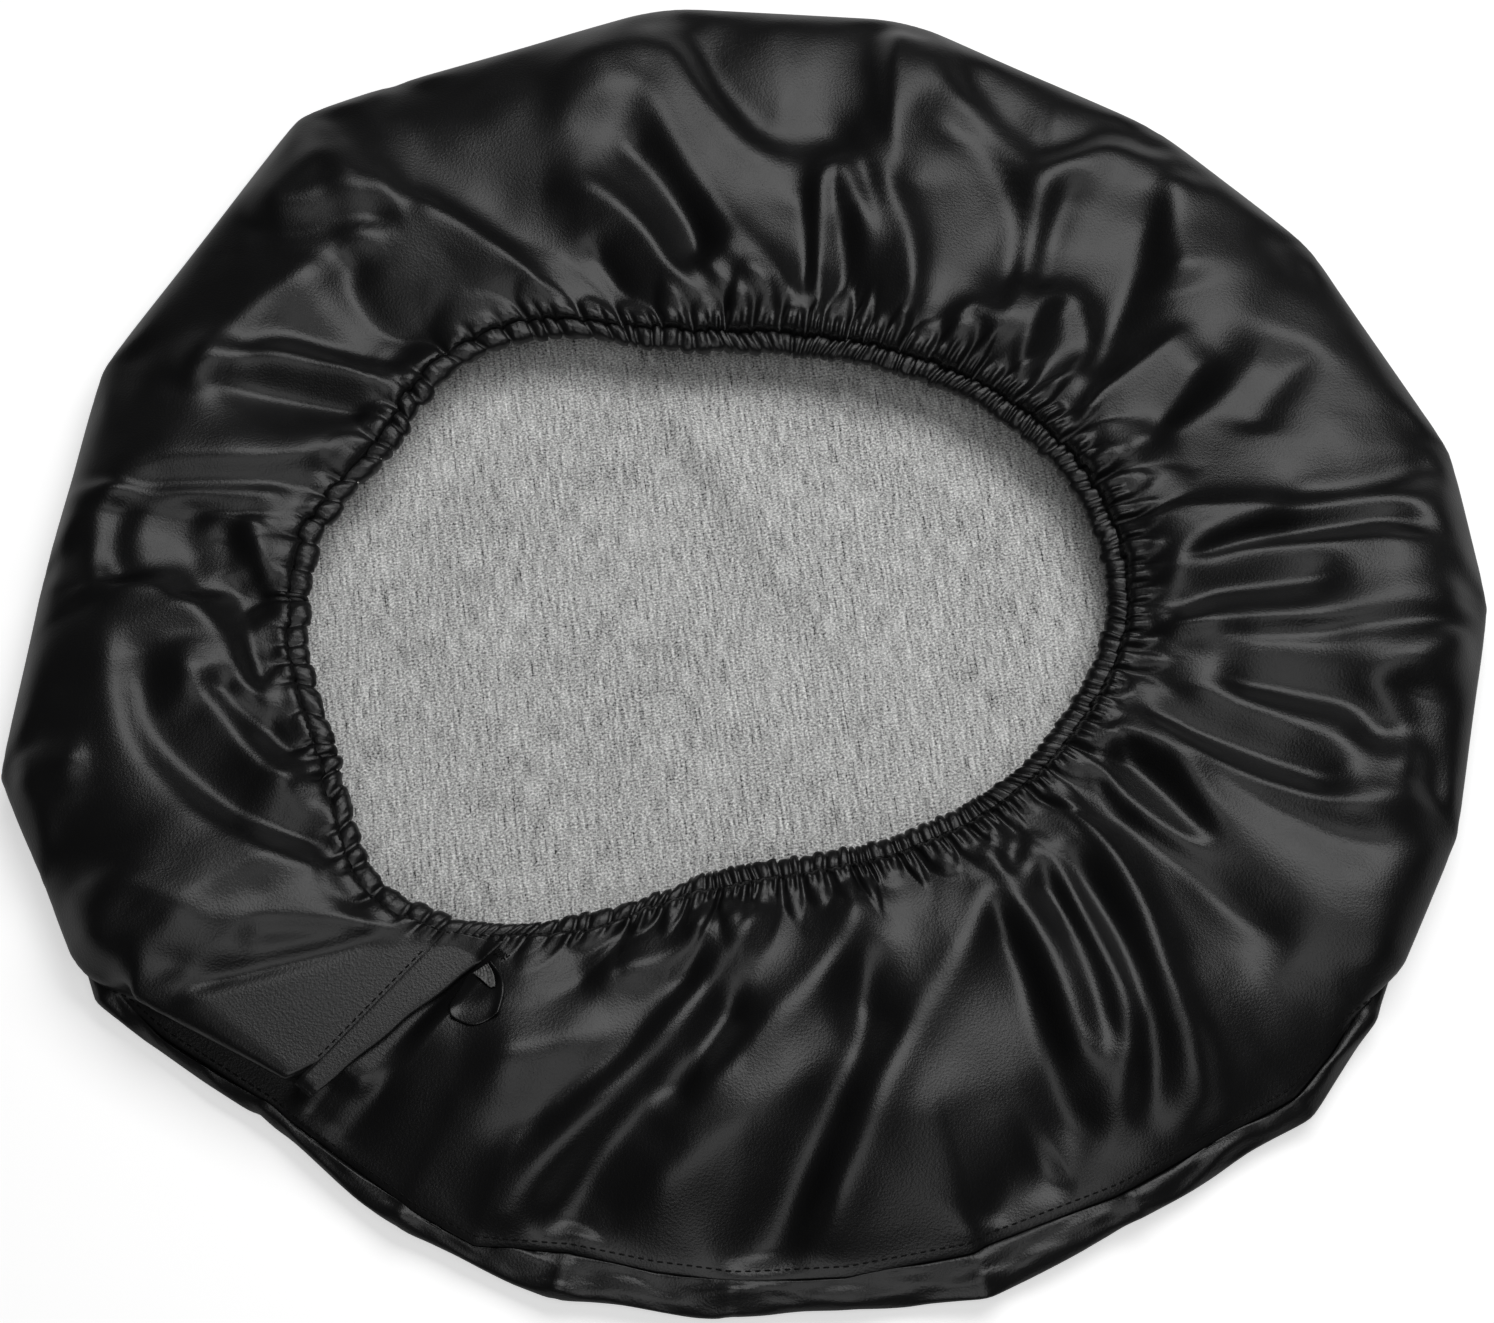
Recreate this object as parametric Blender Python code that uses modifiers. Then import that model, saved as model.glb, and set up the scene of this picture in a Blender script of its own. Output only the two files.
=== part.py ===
"""Elastic-hemmed spare tire cover, empty and lying face down on a flat surface.

The cover is two sewn panels of knit-backed vinyl: a round face, and a long band
that joins the face at the rim seam, rolls up and over, and is gathered by an
elastic inside its turned hem.  Each layer, thread and loose end is one object.

Frame: metres, +Z up.  The origin is the centre of the face's outer side, which
lies on Z = 0.  The mouth opens towards +Z.  The band's ends lap on the -X -Y side.
"""

import math
from bisect import bisect_right

import bmesh
import bpy
from mathutils import Vector

MM = 0.001

# Driving dimensions, in millimetres and degrees
VINYL = 0.8
KNIT = 0.5
GAP = 0.3
THREAD_RADIUS = 0.35
SEAM_HEIGHT = 14.5
SEAM_INSET = 9.0
SEAM_ALLOWANCE = 11.0
SEAM_THREAD_INSET = 5.0
CREST_HEIGHT = 44.0
CREST_FROM_SEAM = 21.0
CREST_FROM_RIM = 26.0
HEM_HEIGHT = 27.0
CASING_WIDTH = 16.0
CASING_DEPTH = 8.0
CASING_GAP = 0.6
CASING_RETURN = 1.0
HEM_STITCH_INSET = 2.0
ELASTIC_WIDTH = 9.0
ELASTIC_DEPTH = 1.6
ELASTIC_OFFSET = 0.5
ELASTIC_END_WIDTH = 7.0
ELASTIC_END_DEPTH = 0.8
ELASTIC_OVERLAP = 26.0
TACK_RADIUS = 0.25
TACK_LENGTH = 4.9
LAP_ROOT = (-151.0, -178.0)
LAP_HEADING = -131.0
LAP_LIFT = 0.9
LAP_STITCH_OFFSET = 2.0
FLAP_LENGTH = 68.0
FLAP_HINGE_GAP = 0.8
FLAP_ROOT_WIDTH = 17.0
FLAP_END_WIDTH = 11.0
UNDER_LAP_WIDTH = 22.0
UNDER_LAP_DEPTH = 2.5
TAB_ROOT = (-122.0, -182.0)
TAB_HEADING = -88.0
TAB_LENGTH = 30.0
TAB_WIDTH = 15.0
TAB_TIP_SHARE = 0.6
BAR_TACK_LENGTH = 6.0

# Plan of the rolled outer edge and of the mouth: (degrees from +X, millimetres from the centre)
OUTLINE = [
    (-167, 357), (-148, 354), (-127, 333), (-105, 345), (-90, 343), (-73, 347),
    (-60, 337), (-45, 348), (-17, 344), (14, 343), (37, 335), (64, 339),
    (96, 345), (130, 357), (158, 343), (178, 337),
]
MOUTH = [
    (-179, 210), (-158, 207), (-137, 219), (-119, 182), (-102, 142), (-83, 130),
    (-55, 137), (-27, 150), (0, 164), (26, 159), (54, 143), (85, 133),
    (109, 143), (126, 177), (142, 191), (156, 190), (170, 208),
]

# Sections, as (millimetres inside the edge that the section follows, height)
FACE_EDGE = [(30.0, 0.0), (8.0, 2.0), (0.0, 7.5), (3.0, 12.5)]
FACE_EDGE_TUCK = 3.0
WALL_FROM_SEAM = [(-1.0, 20.1), (2.0, 25.1), (7.0, 35.0)]
WALL_FROM_RIM = [(1.0, 20.1), (0.0, 27.1), (6.0, 35.0)]

# The band rolls out over the rim seam everywhere but between these two angles
SEAM_SHOWS_FROM = -138.0
SEAM_SHOWS_TO = -44.0
SEAM_SHOWS_FADE = 14.0

STEPS = 60
STEP_ANGLE = 360.0 / STEPS


def mix(a, b, share):
    return a + (b - a) * share


def smooth(share):
    share = min(max(share, 0.0), 1.0)
    return share * share * (3.0 - 2.0 * share)


def plan_radius(plan, angle):
    """Radius of a closed plan outline at an angle: a smooth cubic through its points."""
    count = len(plan)
    angle = (angle - plan[0][0]) % 360.0 + plan[0][0]
    start = bisect_right([a for a, _ in plan], angle) - 1

    def point(k):
        turn, index = divmod(k, count)
        return plan[index][0] + 360.0 * turn, plan[index][1]

    (a0, r0), (a1, r1), (a2, r2), (a3, r3) = [point(start + k) for k in (-1, 0, 1, 2)]
    span = a2 - a1
    slope_in = (r2 - r0) / (a2 - a0) * span
    slope_out = (r3 - r1) / (a3 - a1) * span
    t = (angle - a1) / span
    from_ends = mix(r1, r2, smooth(t))
    from_slopes = t * (1.0 - t) ** 2 * slope_in - t * t * (1.0 - t) * slope_out
    return from_ends + from_slopes


def roll_out(angle):
    """0 where the rim seam shows, 1 where the band rolls out and hides it."""
    middle = (SEAM_SHOWS_FROM + SEAM_SHOWS_TO) / 2.0
    half = (SEAM_SHOWS_TO - SEAM_SHOWS_FROM) / 2.0
    away = abs((angle - middle + 180.0) % 360.0 - 180.0)
    return smooth((away - half) / SEAM_SHOWS_FADE)


def rim_radius(angle):
    return plan_radius(OUTLINE, angle)


def seam_radius(angle):
    return rim_radius(angle) - SEAM_INSET


def hem_radius(angle):
    """Where the band's flat cloth ends and its turned hem starts."""
    return plan_radius(MOUTH, angle) + CASING_WIDTH


def place(angle, radius, height):
    turn = math.radians(angle)
    return Vector((radius * math.cos(turn), radius * math.sin(turn), height)) * MM


def face_section(angle):
    """Outer side of the face: flat, up round the rim, and in to its seam allowance."""
    rim = rim_radius(angle) - FACE_EDGE_TUCK * roll_out(angle)
    seam = seam_radius(angle)
    edge = [(rim - inset, height) for inset, height in FACE_EDGE]
    return edge + [(seam, SEAM_HEIGHT), (seam - SEAM_ALLOWANCE, SEAM_HEIGHT)]


def band_section(angle):
    """Outer side of the band: seam allowance, up the wall, over the crest, in to the hem."""
    rim = rim_radius(angle)
    seam = seam_radius(angle)
    out = roll_out(angle)
    lip = SEAM_HEIGHT + 2.0 * GAP
    wall = [
        (mix(seam - inset_s, rim - inset_r, out), mix(height_s, height_r, out))
        for (inset_s, height_s), (inset_r, height_r) in zip(WALL_FROM_SEAM, WALL_FROM_RIM)
    ]
    allowance = [(seam - SEAM_ALLOWANCE, lip), (seam, lip)]
    return allowance + wall + [crest_point(angle), hem_point(angle)]


def crest_point(angle):
    shown = seam_radius(angle) - CREST_FROM_SEAM
    rolled = rim_radius(angle) - CREST_FROM_RIM
    return mix(shown, rolled, roll_out(angle)), CREST_HEIGHT


def hem_point(angle):
    return hem_radius(angle) + CASING_GAP, HEM_HEIGHT + CASING_DEPTH / 2.0


def casing_section(angle):
    """Outer side of the turned hem: in over the top, round the mouth's edge, back underneath."""
    start = hem_radius(angle)
    half = CASING_DEPTH / 2.0
    nose = start - CASING_WIDTH + half
    points = [(start, HEM_HEIGHT + half)]
    for turn in (-90, -45, 0, 45, 90):
        a = math.radians(turn)
        points.append((nose - half * math.cos(a), HEM_HEIGHT - half * math.sin(a)))
    points.append((start - CASING_RETURN, HEM_HEIGHT - half))
    return points


def elastic_middle(angle):
    return hem_radius(angle) - CASING_WIDTH / 2.0 + ELASTIC_OFFSET


def elastic_section(angle):
    """Closed outline of the flat elastic strip inside the casing."""
    middle = elastic_middle(angle)
    wide = ELASTIC_WIDTH / 2.0
    deep = ELASTIC_DEPTH / 2.0
    return [
        (middle - wide, HEM_HEIGHT - deep),
        (middle + wide, HEM_HEIGHT - deep),
        (middle + wide, HEM_HEIGHT + deep),
        (middle - wide, HEM_HEIGHT + deep),
    ]


def cover_top(x, y):
    """Height of the band's outer side between its crest and its hem, at a plan position."""
    angle = math.degrees(math.atan2(y, x))
    (crest, high), (hem, low) = crest_point(angle), hem_point(angle)
    share = (math.hypot(x, y) - hem) / (crest - hem)
    return mix(low, high, min(max(share, 0.0), 1.0))


def strip_point(root, heading, along, across, lift):
    """A point lift above the band, along a straight line from root and across to its left."""
    turn = math.radians(heading)
    x = root[0] + along * math.cos(turn) - across * math.sin(turn)
    y = root[1] + along * math.sin(turn) + across * math.cos(turn)
    return Vector((x, y, cover_top(x, y) + lift)) * MM


def material(name, colour, roughness):
    made = bpy.data.materials.new(name)
    made.use_nodes = True
    shader = made.node_tree.nodes["Principled BSDF"]
    shader.inputs["Base Color"].default_value = (*colour, 1.0)
    shader.inputs["Roughness"].default_value = roughness
    shader.inputs["Metallic"].default_value = 0.0
    return made


def add_object(name, data, collection, look):
    made = bpy.data.objects.new(name, data)
    collection.objects.link(made)
    data.materials.append(look)
    return made


def add_thickness(target, depth, below=0.0):
    """Fill the layer between below and below + depth under the surface."""
    shell = target.modifiers.new("thickness", "SOLIDIFY")
    shell.thickness = depth * MM
    shell.offset = -1.0 - 2.0 * below / depth
    shell.use_even_offset = True
    shell.use_rim = True


def loft_round(name, section, closed=False, fill_centre=False):
    """Surface through a section at every step round the cover, facing the section's outer side."""
    shape = bmesh.new()
    rings = []
    for i in range(STEPS):
        angle = i * STEP_ANGLE
        rings.append([shape.verts.new(place(angle, r, z)) for r, z in section(angle)])
    for here, after in zip(rings, rings[1:] + rings[:1]):
        count = len(here) if closed else len(here) - 1
        for k in range(count):
            n = (k + 1) % len(here)
            shape.faces.new((here[k], after[k], after[n], here[n]))
    if fill_centre:
        shape.faces.new([ring[0] for ring in reversed(rings)])
    mesh = bpy.data.meshes.new(name)
    shape.to_mesh(mesh)
    shape.free()
    mesh.shade_smooth()
    return mesh


def loft_strip(name, point_at, along_steps, across_steps):
    """Open sheet facing up, through point_at(along share, across share)."""
    shape = bmesh.new()
    rows = []
    for i in range(along_steps + 1):
        shares = [j / across_steps for j in range(across_steps + 1)]
        rows.append([shape.verts.new(point_at(i / along_steps, share)) for share in shares])
    for here, after in zip(rows, rows[1:]):
        for j in range(across_steps):
            shape.faces.new((here[j], after[j], after[j + 1], here[j + 1]))
    mesh = bpy.data.meshes.new(name)
    shape.to_mesh(mesh)
    shape.free()
    return mesh


def thread(name, points, collection, look, closed=False, radius=THREAD_RADIUS):
    """A sewing thread along the given points."""
    curve = bpy.data.curves.new(name, "CURVE")
    curve.dimensions = "3D"
    curve.bevel_depth = radius * MM
    curve.bevel_resolution = 0
    curve.use_fill_caps = not closed
    path = curve.splines.new("POLY")
    path.points.add(len(points) - 1)
    for control, point in zip(path.points, points):
        control.co = (*point, 1.0)
    path.use_cyclic_u = closed
    return add_object(name, curve, collection, look)


def laminate(collection, looks, skin_name, backing_name, section, fill_centre=False):
    """A vinyl skin and the knit behind it, both offset from one lofted surface."""
    skin = loft_round(skin_name, section, fill_centre=fill_centre)
    add_thickness(add_object(skin_name, skin, collection, looks["vinyl"]), VINYL)
    backing = loft_round(backing_name, section, fill_centre=fill_centre)
    target = add_object(backing_name, backing, collection, looks["knit"])
    add_thickness(target, KNIT, below=VINYL + GAP)


def add_hem(collection, looks):
    """The turned casing and the row of stitches that closes it."""
    casing = loft_round("hem_casing", casing_section)
    add_thickness(add_object("hem_casing", casing, collection, looks["vinyl"]), VINYL)
    height = HEM_HEIGHT + CASING_DEPTH / 2.0 + GAP + THREAD_RADIUS
    stitches = []
    for i in range(STEPS):
        angle = i * STEP_ANGLE
        stitches.append(place(angle, hem_radius(angle) - HEM_STITCH_INSET, height))
    thread("hem_stitch_thread", stitches, collection, looks["thread"], closed=True)


def add_elastic(collection, looks):
    """The elastic ring, its overlapped end, and the thread that tacks the two together."""
    ring = loft_round("elastic_band", elastic_section, closed=True)
    add_object("elastic_band", ring, collection, looks["elastic"])

    start = math.degrees(math.atan2(LAP_ROOT[1], LAP_ROOT[0]))
    sweep = math.degrees(ELASTIC_OVERLAP / elastic_middle(start))
    half_width = ELASTIC_END_WIDTH / 2.0
    low = HEM_HEIGHT + ELASTIC_DEPTH / 2.0 + GAP

    def end_point(along, across):
        angle = start + sweep * along
        return place(angle, elastic_middle(angle) + mix(half_width, -half_width, across), low)

    end = loft_strip("elastic_lap_end", end_point, 4, 1)
    target = add_object("elastic_lap_end", end, collection, looks["elastic"])
    add_thickness(target, ELASTIC_END_DEPTH, below=-ELASTIC_END_DEPTH)

    tack_height = low + ELASTIC_END_DEPTH + GAP + TACK_RADIUS
    tack_angle = start + sweep / 2.0
    tack = [
        place(tack_angle, elastic_middle(tack_angle) + side * TACK_LENGTH / 2.0, tack_height)
        for side in (-1, 1)
    ]
    thread("elastic_tack_thread", tack, collection, looks["thread"], radius=TACK_RADIUS)


def add_rim_threads(collection, looks):
    """The hidden thread under the seam allowances, and the topstitch that shows above the seam."""
    hidden = []
    shown = []
    hidden_height = SEAM_HEIGHT - VINYL - KNIT - 2.0 * GAP - THREAD_RADIUS
    for i in range(STEPS):
        angle = i * STEP_ANGLE
        hidden.append(place(angle, seam_radius(angle) - SEAM_THREAD_INSET, hidden_height))
        (r0, z0), (r1, z1) = band_section(angle)[2:4]
        outwards = Vector((z1 - z0, r0 - r1)).normalized() * (2.0 * GAP + THREAD_RADIUS)
        shown.append(place(angle, (r0 + r1) / 2.0 + outwards.x, (z0 + z1) / 2.0 + outwards.y))
    thread("rim_seam_thread", hidden, collection, looks["thread"], closed=True)
    thread("rim_topstitch_thread", shown, collection, looks["thread"], closed=True)


def add_overlap_flap(collection, looks):
    """The loose edge of the band's upper end, and the knit on its underside."""
    layers = (
        ("overlap_flap_backing", looks["knit"], LAP_LIFT, KNIT),
        ("overlap_flap", looks["vinyl"], LAP_LIFT + KNIT + GAP, VINYL),
    )
    for name, look, lift, depth in layers:
        def flap_point(along, across):
            return strip_point(
                LAP_ROOT, LAP_HEADING, FLAP_LENGTH * along,
                FLAP_HINGE_GAP + mix(FLAP_ROOT_WIDTH, FLAP_END_WIDTH, along) * across, lift,
            )
        sheet = loft_strip(name, flap_point, 6, 2)
        add_thickness(add_object(name, sheet, collection, look), depth, below=-depth)


def add_lap_threads(collection, looks):
    """The lap's long row of stitches, and the bar tack that holds its ends at the hem."""
    lift = LAP_LIFT + THREAD_RADIUS
    row = [
        strip_point(LAP_ROOT, LAP_HEADING, FLAP_LENGTH * along, -LAP_STITCH_OFFSET, lift)
        for along in (0.0, 0.5, 1.0)
    ]
    thread("lap_stitch_thread", row, collection, looks["thread"])

    angle = math.degrees(math.atan2(TAB_ROOT[1], TAB_ROOT[0]))
    height = HEM_HEIGHT + CASING_DEPTH / 2.0 + GAP + THREAD_RADIUS
    outer = hem_radius(angle) - 2.0 * HEM_STITCH_INSET
    bar = [place(angle, outer - step, height) for step in (0.0, BAR_TACK_LENGTH)]
    thread("lap_bar_tack", bar, collection, looks["thread"])


def add_under_lap(collection, looks):
    """The band's lower end, hidden under the lap inside the cover, and its loose corner outside."""
    def under_point(along, across):
        return strip_point(
            LAP_ROOT, LAP_HEADING, FLAP_LENGTH * along,
            UNDER_LAP_WIDTH * (across - 0.5), -UNDER_LAP_DEPTH,
        )

    sheet = loft_strip("under_lap", under_point, 6, 2)
    add_thickness(add_object("under_lap", sheet, collection, looks["vinyl"]), VINYL)

    def tab_point(along, across):
        narrowing = mix(1.0, TAB_TIP_SHARE, along)
        return strip_point(
            TAB_ROOT, TAB_HEADING, TAB_LENGTH * along,
            TAB_WIDTH * (across - 0.5) * narrowing, LAP_LIFT,
        )

    corner = loft_strip("under_lap_tab", tab_point, 3, 2)
    target = add_object("under_lap_tab", corner, collection, looks["knit"])
    add_thickness(target, VINYL, below=-VINYL)


def main():
    for old in list(bpy.data.objects):
        bpy.data.objects.remove(old)
    collection = bpy.data.collections.new("spare_tire_cover")
    bpy.context.scene.collection.children.link(collection)
    looks = {
        "vinyl": material("black_vinyl", (0.012, 0.012, 0.013), 0.38),
        "knit": material("grey_knit_backing", (0.33, 0.33, 0.34), 0.9),
        "thread": material("black_thread", (0.01, 0.01, 0.01), 0.6),
        "elastic": material("white_elastic", (0.75, 0.74, 0.7), 0.8),
    }
    laminate(collection, looks, "face_panel", "face_backing", face_section, fill_centre=True)
    laminate(collection, looks, "band_panel", "band_backing", band_section)
    add_hem(collection, looks)
    add_elastic(collection, looks)
    add_rim_threads(collection, looks)
    add_overlap_flap(collection, looks)
    add_lap_threads(collection, looks)
    add_under_lap(collection, looks)


main()
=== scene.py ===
"""Looks of an elastic-hemmed spare tire cover, lying on its face with its mouth up.

The cloth is worked in millimetres on grids that run round the cover and across the
band, then written to meshes in metres.  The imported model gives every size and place.
"""

import math

import bpy
import numpy as np
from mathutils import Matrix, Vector
from mathutils.bvhtree import BVHTree


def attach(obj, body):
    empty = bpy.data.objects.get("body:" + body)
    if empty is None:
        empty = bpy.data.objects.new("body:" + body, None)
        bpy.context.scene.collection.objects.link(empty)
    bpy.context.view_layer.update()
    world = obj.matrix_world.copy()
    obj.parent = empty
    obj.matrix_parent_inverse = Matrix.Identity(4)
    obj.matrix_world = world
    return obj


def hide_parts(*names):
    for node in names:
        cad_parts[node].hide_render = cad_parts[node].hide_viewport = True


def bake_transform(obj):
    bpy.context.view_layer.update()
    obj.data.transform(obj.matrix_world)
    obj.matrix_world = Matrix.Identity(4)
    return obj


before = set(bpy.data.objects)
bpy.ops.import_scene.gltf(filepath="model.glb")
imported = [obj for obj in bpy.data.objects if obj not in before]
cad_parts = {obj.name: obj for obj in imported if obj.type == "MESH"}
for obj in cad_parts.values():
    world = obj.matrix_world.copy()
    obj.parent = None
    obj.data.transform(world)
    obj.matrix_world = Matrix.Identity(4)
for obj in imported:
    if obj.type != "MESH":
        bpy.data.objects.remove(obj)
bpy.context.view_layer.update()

MM = 0.001
RNG = np.random.default_rng(27)

# The band's cloth: rows across it, fewest columns to a gather of the hem, and their widest pitch
ROWS = 62
GATHER_COLUMNS = 6
COLUMN_PITCH = 1.1
# The other grids: the band as it is first settled, the casing, the face and the band's knit
COARSE_COLUMNS = 360
COARSE_ROWS = 30
CASING_SIDES = 20
FACE_COLUMNS = 720
FACE_RINGS = 28
KNIT_COLUMNS = 640
KNIT_ROWS = 30
HEM_SAMPLES = 2000

# Cloth and thread, in millimetres
VINYL_THICKNESS = 0.6
KNIT_THICKNESS = 0.4
STITCH_PITCH = 4.3
STITCH_LENGTH = 3.1
STITCH_RADIUS = 0.4
STITCH_SIDES = 6
# Rings along a stitch: (share of its length, lift off the cloth, share of its radius)
STITCH_RINGS = [(0.0, -0.3, 0.5), (0.22, 0.12, 1.0), (0.78, 0.12, 1.0), (1.0, -0.3, 0.5)]
TOPSTITCH_INSET = 6.5
SEAM_THREAD_DEPTH = 0.6

# The hem: the casing's width, its half-width and half-depth when puffed, and its middle's height
CASING_WIDTH = 16.0
CASING_HALF_WIDTH = 7.4
CASING_HALF_DEPTH = 5.0
HEM_HEIGHT = 27.0
# The band is sewn on at this side of the casing, counted up from its outer edge; how far in
# from that edge the band reaches, and how high it lies there
CASING_SEWN_SIDE = 4
CASING_COVERED = 4.0
HEM_TOP = 31.0
# The elastic lies this far out from the casing's middle, in an oval of these half-axes
ELASTIC_OFFSET = 0.5
ELASTIC_ROOM = (5.4, 1.9)
# The band's cloth lies this far above the casing's where they are sewn
SEWN_RISE = 0.25
# Pitch of the gathers where the hem is loose, where it is dense, and over the lap
LOOSE_PITCH = 12.5
DENSE_PITCH = 4.8
LAP_PITCH = 3.4
SHORTEST_GATHER = 2.5

# The rim seam shows between these two angles; elsewhere the band rolls out over it
SEAM_SHOWS = (-141.0, -41.0)
SEAM_FADE = 10.0

# Where the outline turns a corner: (degrees from +X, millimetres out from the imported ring)
CORNERS = [
    (-166, 4), (-157, -3), (-147, 9), (-132, 4), (-118, 10), (-105, 6), (-92, 3), (-73, 7),
    (-60, 10), (-45, 10), (-36, 3), (-20, -2), (0, 2), (14, 2), (36, 3), (53, -2), (77, 0),
    (98, -2), (122, -9), (130, 2), (158, 1), (177, 1),
]
CORNER_ANGLES = np.array([angle for angle, out in CORNERS], float)

# How far inside the outline the visible seam runs: (degrees from +X, millimetres)
SEAM_INSETS = [
    (-141, 5), (-130, 6), (-119, 9), (-112, 6), (-105, 20), (-98, 15), (-83, 12), (-72, 20),
    (-61, 13), (-50, 11), (-41, 8),
]

# The band's profile: (millimetres in from the outline, height) from the seam to the crest,
# where the band rolls out, where the outline has a corner, and (in from the seam) where it shows
ROLLED = [(13, 14.0), (6, 15), (1, 18.5), (0.5, 22.5), (10, 32.5), (20, 37), (36, 40.5), (58, 43)]
PINCHED = [(10, 14.0), (5, 16), (1, 18.5), (0, 21), (6, 25.5), (16, 31), (32, 37.5), (56, 42)]
SHOWN = [(0, 13.0), (2, 15.2), (8, 18), (18, 22.5), (30, 27.5), (42, 32), (54, 35.5), (66, 38)]
# Between the crest and the hem: (share of the way in, drop from the crest)
INNER_DROP = [(0.33, 1.0), (0.62, 3.5), (0.85, 7.0), (1.0, 10.0)]

# The lap: where its row of stitches starts, its heading, and its free edge's distance
LAP_ROOT = (-151.0, -178.5)
LAP_HEADING = -131.0
LAP_LENGTH = 69.0
LAP_FREE_EDGE = [(-30, 24.5), (-8, 21), (25, 15.8), (70, 10.6), (82, 9.2)]
LAP_END = 81.0
LAP_STEP = 2.4
# The lap's flat cloth: its height at the root, its rise to the fold and its fall to the free edge
LAP_HEIGHT = 30.8
LAP_RISE = 0.03
LAP_FALL = 0.075

# The end of the lap folds under along a straight line, seen as a sharp edge
TUCK_LINE = ((-292.0, -192.5), (-205.0, -239.5))
TUCK_FROM = -149.0
TUCK_TO = -131.5

# The loose corner of the lap's lower end: its two sides, from the lap outwards
TAB_LEFT = [(-129.5, -187.0), (-133.0, -195.0), (-137.0, -203.0), (-136.5, -209.0)]
TAB_RIGHT = [(-119.5, -183.0), (-114.5, -190.0), (-112.8, -199.0), (-115.0, -209.0)]

# The bar tack: its first row's angle, the rows' step, and the ends of the stitches in a row
TACK_ANGLE = -123.4
TACK_STEP = 0.28
TACK_ROWS = 7
TACK_RADII = (211.0, 211.9, 214.1, 215.0)

# The crease in the knit of the face: its path, height and half-width
KNIT_CREASE = [(-60, 150), (-12, 70), (62, -40)]
KNIT_CREASE_HEIGHT = 5.0
KNIT_CREASE_WIDTH = 8.0

# The face's outer side, from its flat part up to the seam that the band rolls out over:
# (millimetres in from the outline, height)
FACE_ROLLED = [
    (60, 0.0), (30, 0.3), (14, 1.2), (6, 4.0), (3.5, 8.0), (5, 11.3), (8.5, 13.2), (12.4, 14.0),
    (13, 13.2),
]

# The cloth's settling: the share of its speed kept from step to step, how strongly its edges
# and its diagonals pull, how close columns may come (a share of their distance as laid out),
# and the lowest that the cloth may lie
SPEED_KEPT = 0.9
EDGE_PULL = 0.5
DIAGONAL_PULL = 0.25
CLOSEST_COLUMNS = 0.2
CLOTH_FLOOR = 3.0

CAMERA_ELEVATION = 65.0

UP = np.array([0.0, 0.0, 1.0])


# ---------------------------------------------------------------- small helpers


def wrap_degrees(angle):
    return (np.asarray(angle, float) + 180.0) % 360.0 - 180.0


def smooth_step(t):
    t = np.clip(t, 0.0, 1.0)
    return t * t * (3.0 - 2.0 * t)


def bell(t):
    return np.exp(-np.square(t))


def smooth_ring(values, width):
    """Gaussian smoothing of evenly spaced values round a closed ring, width in samples."""
    reach = int(math.ceil(width * 3))
    offsets = np.arange(-reach, reach + 1)
    weights = np.exp(-0.5 * (offsets / width) ** 2)
    weights /= weights.sum()
    return sum(w * np.roll(values, k, axis=0) for k, w in zip(offsets, weights))


def smooth_rows(values):
    """Light smoothing of each column of a grid across its rows, keeping both ends."""
    result = values.copy()
    for _ in range(3):
        result[:, 1:-1] = 0.25 * result[:, :-2] + 0.5 * result[:, 1:-1] + 0.25 * result[:, 2:]
    return result


def ripples(x, y, length, seed, waves=9):
    """A soft random field of about unit size, with features of the given length."""
    draw = np.random.default_rng(seed)
    total = np.zeros(np.broadcast(x, y).shape)
    for _ in range(waves):
        turn = draw.uniform(0.0, 2.0 * math.pi)
        rate = 2.0 * math.pi / length * draw.uniform(0.6, 1.5)
        shift = draw.uniform(0.0, 2.0 * math.pi)
        total += np.sin(rate * (x * math.cos(turn) + y * math.sin(turn)) + shift)
    return total / math.sqrt(waves / 2.0)


def catmull(points, per_span):
    """A smooth curve through the points."""
    padded = np.vstack([2 * points[0] - points[1], points, 2 * points[-1] - points[-2]])
    t = np.arange(per_span)[:, None] / per_span
    spans = []
    for p0, p1, p2, p3 in zip(padded, padded[1:], padded[2:], padded[3:]):
        spans.append(0.5 * (
            2 * p1 + (p2 - p0) * t + (2 * p0 - 5 * p1 + 4 * p2 - p3) * t ** 2
            + (3 * p1 - p0 - 3 * p2 + p3) * t ** 3
        ))
    return np.vstack(spans + [points[-1:]])


def run_lengths(points):
    """Distance walked along a polyline, at each of its points."""
    steps = np.linalg.norm(np.diff(points, axis=0), axis=1)
    return np.concatenate([[0.0], np.cumsum(steps)])


# ---------------------------------------------------------------- plan curves


ANGLES = np.arange(-180.0, 180.0, 0.25)


def ring_radius(node, outer):
    """Outermost or innermost radius of a CAD ring at each of ANGLES, in millimetres."""
    points = np.array([v.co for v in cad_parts[node].data.vertices]) / MM
    angle = np.degrees(np.arctan2(points[:, 1], points[:, 0]))
    radius = np.hypot(points[:, 0], points[:, 1])
    steps = np.arange(-180.0, 180.0, 6.0)
    best = []
    for step in steps:
        near = radius[np.abs(wrap_degrees(angle - step)) < 1.5]
        best.append(near.max() if outer else near.min())
    dense = np.interp(ANGLES, steps, best, period=360.0)
    return smooth_ring(dense, 8.0)


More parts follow.
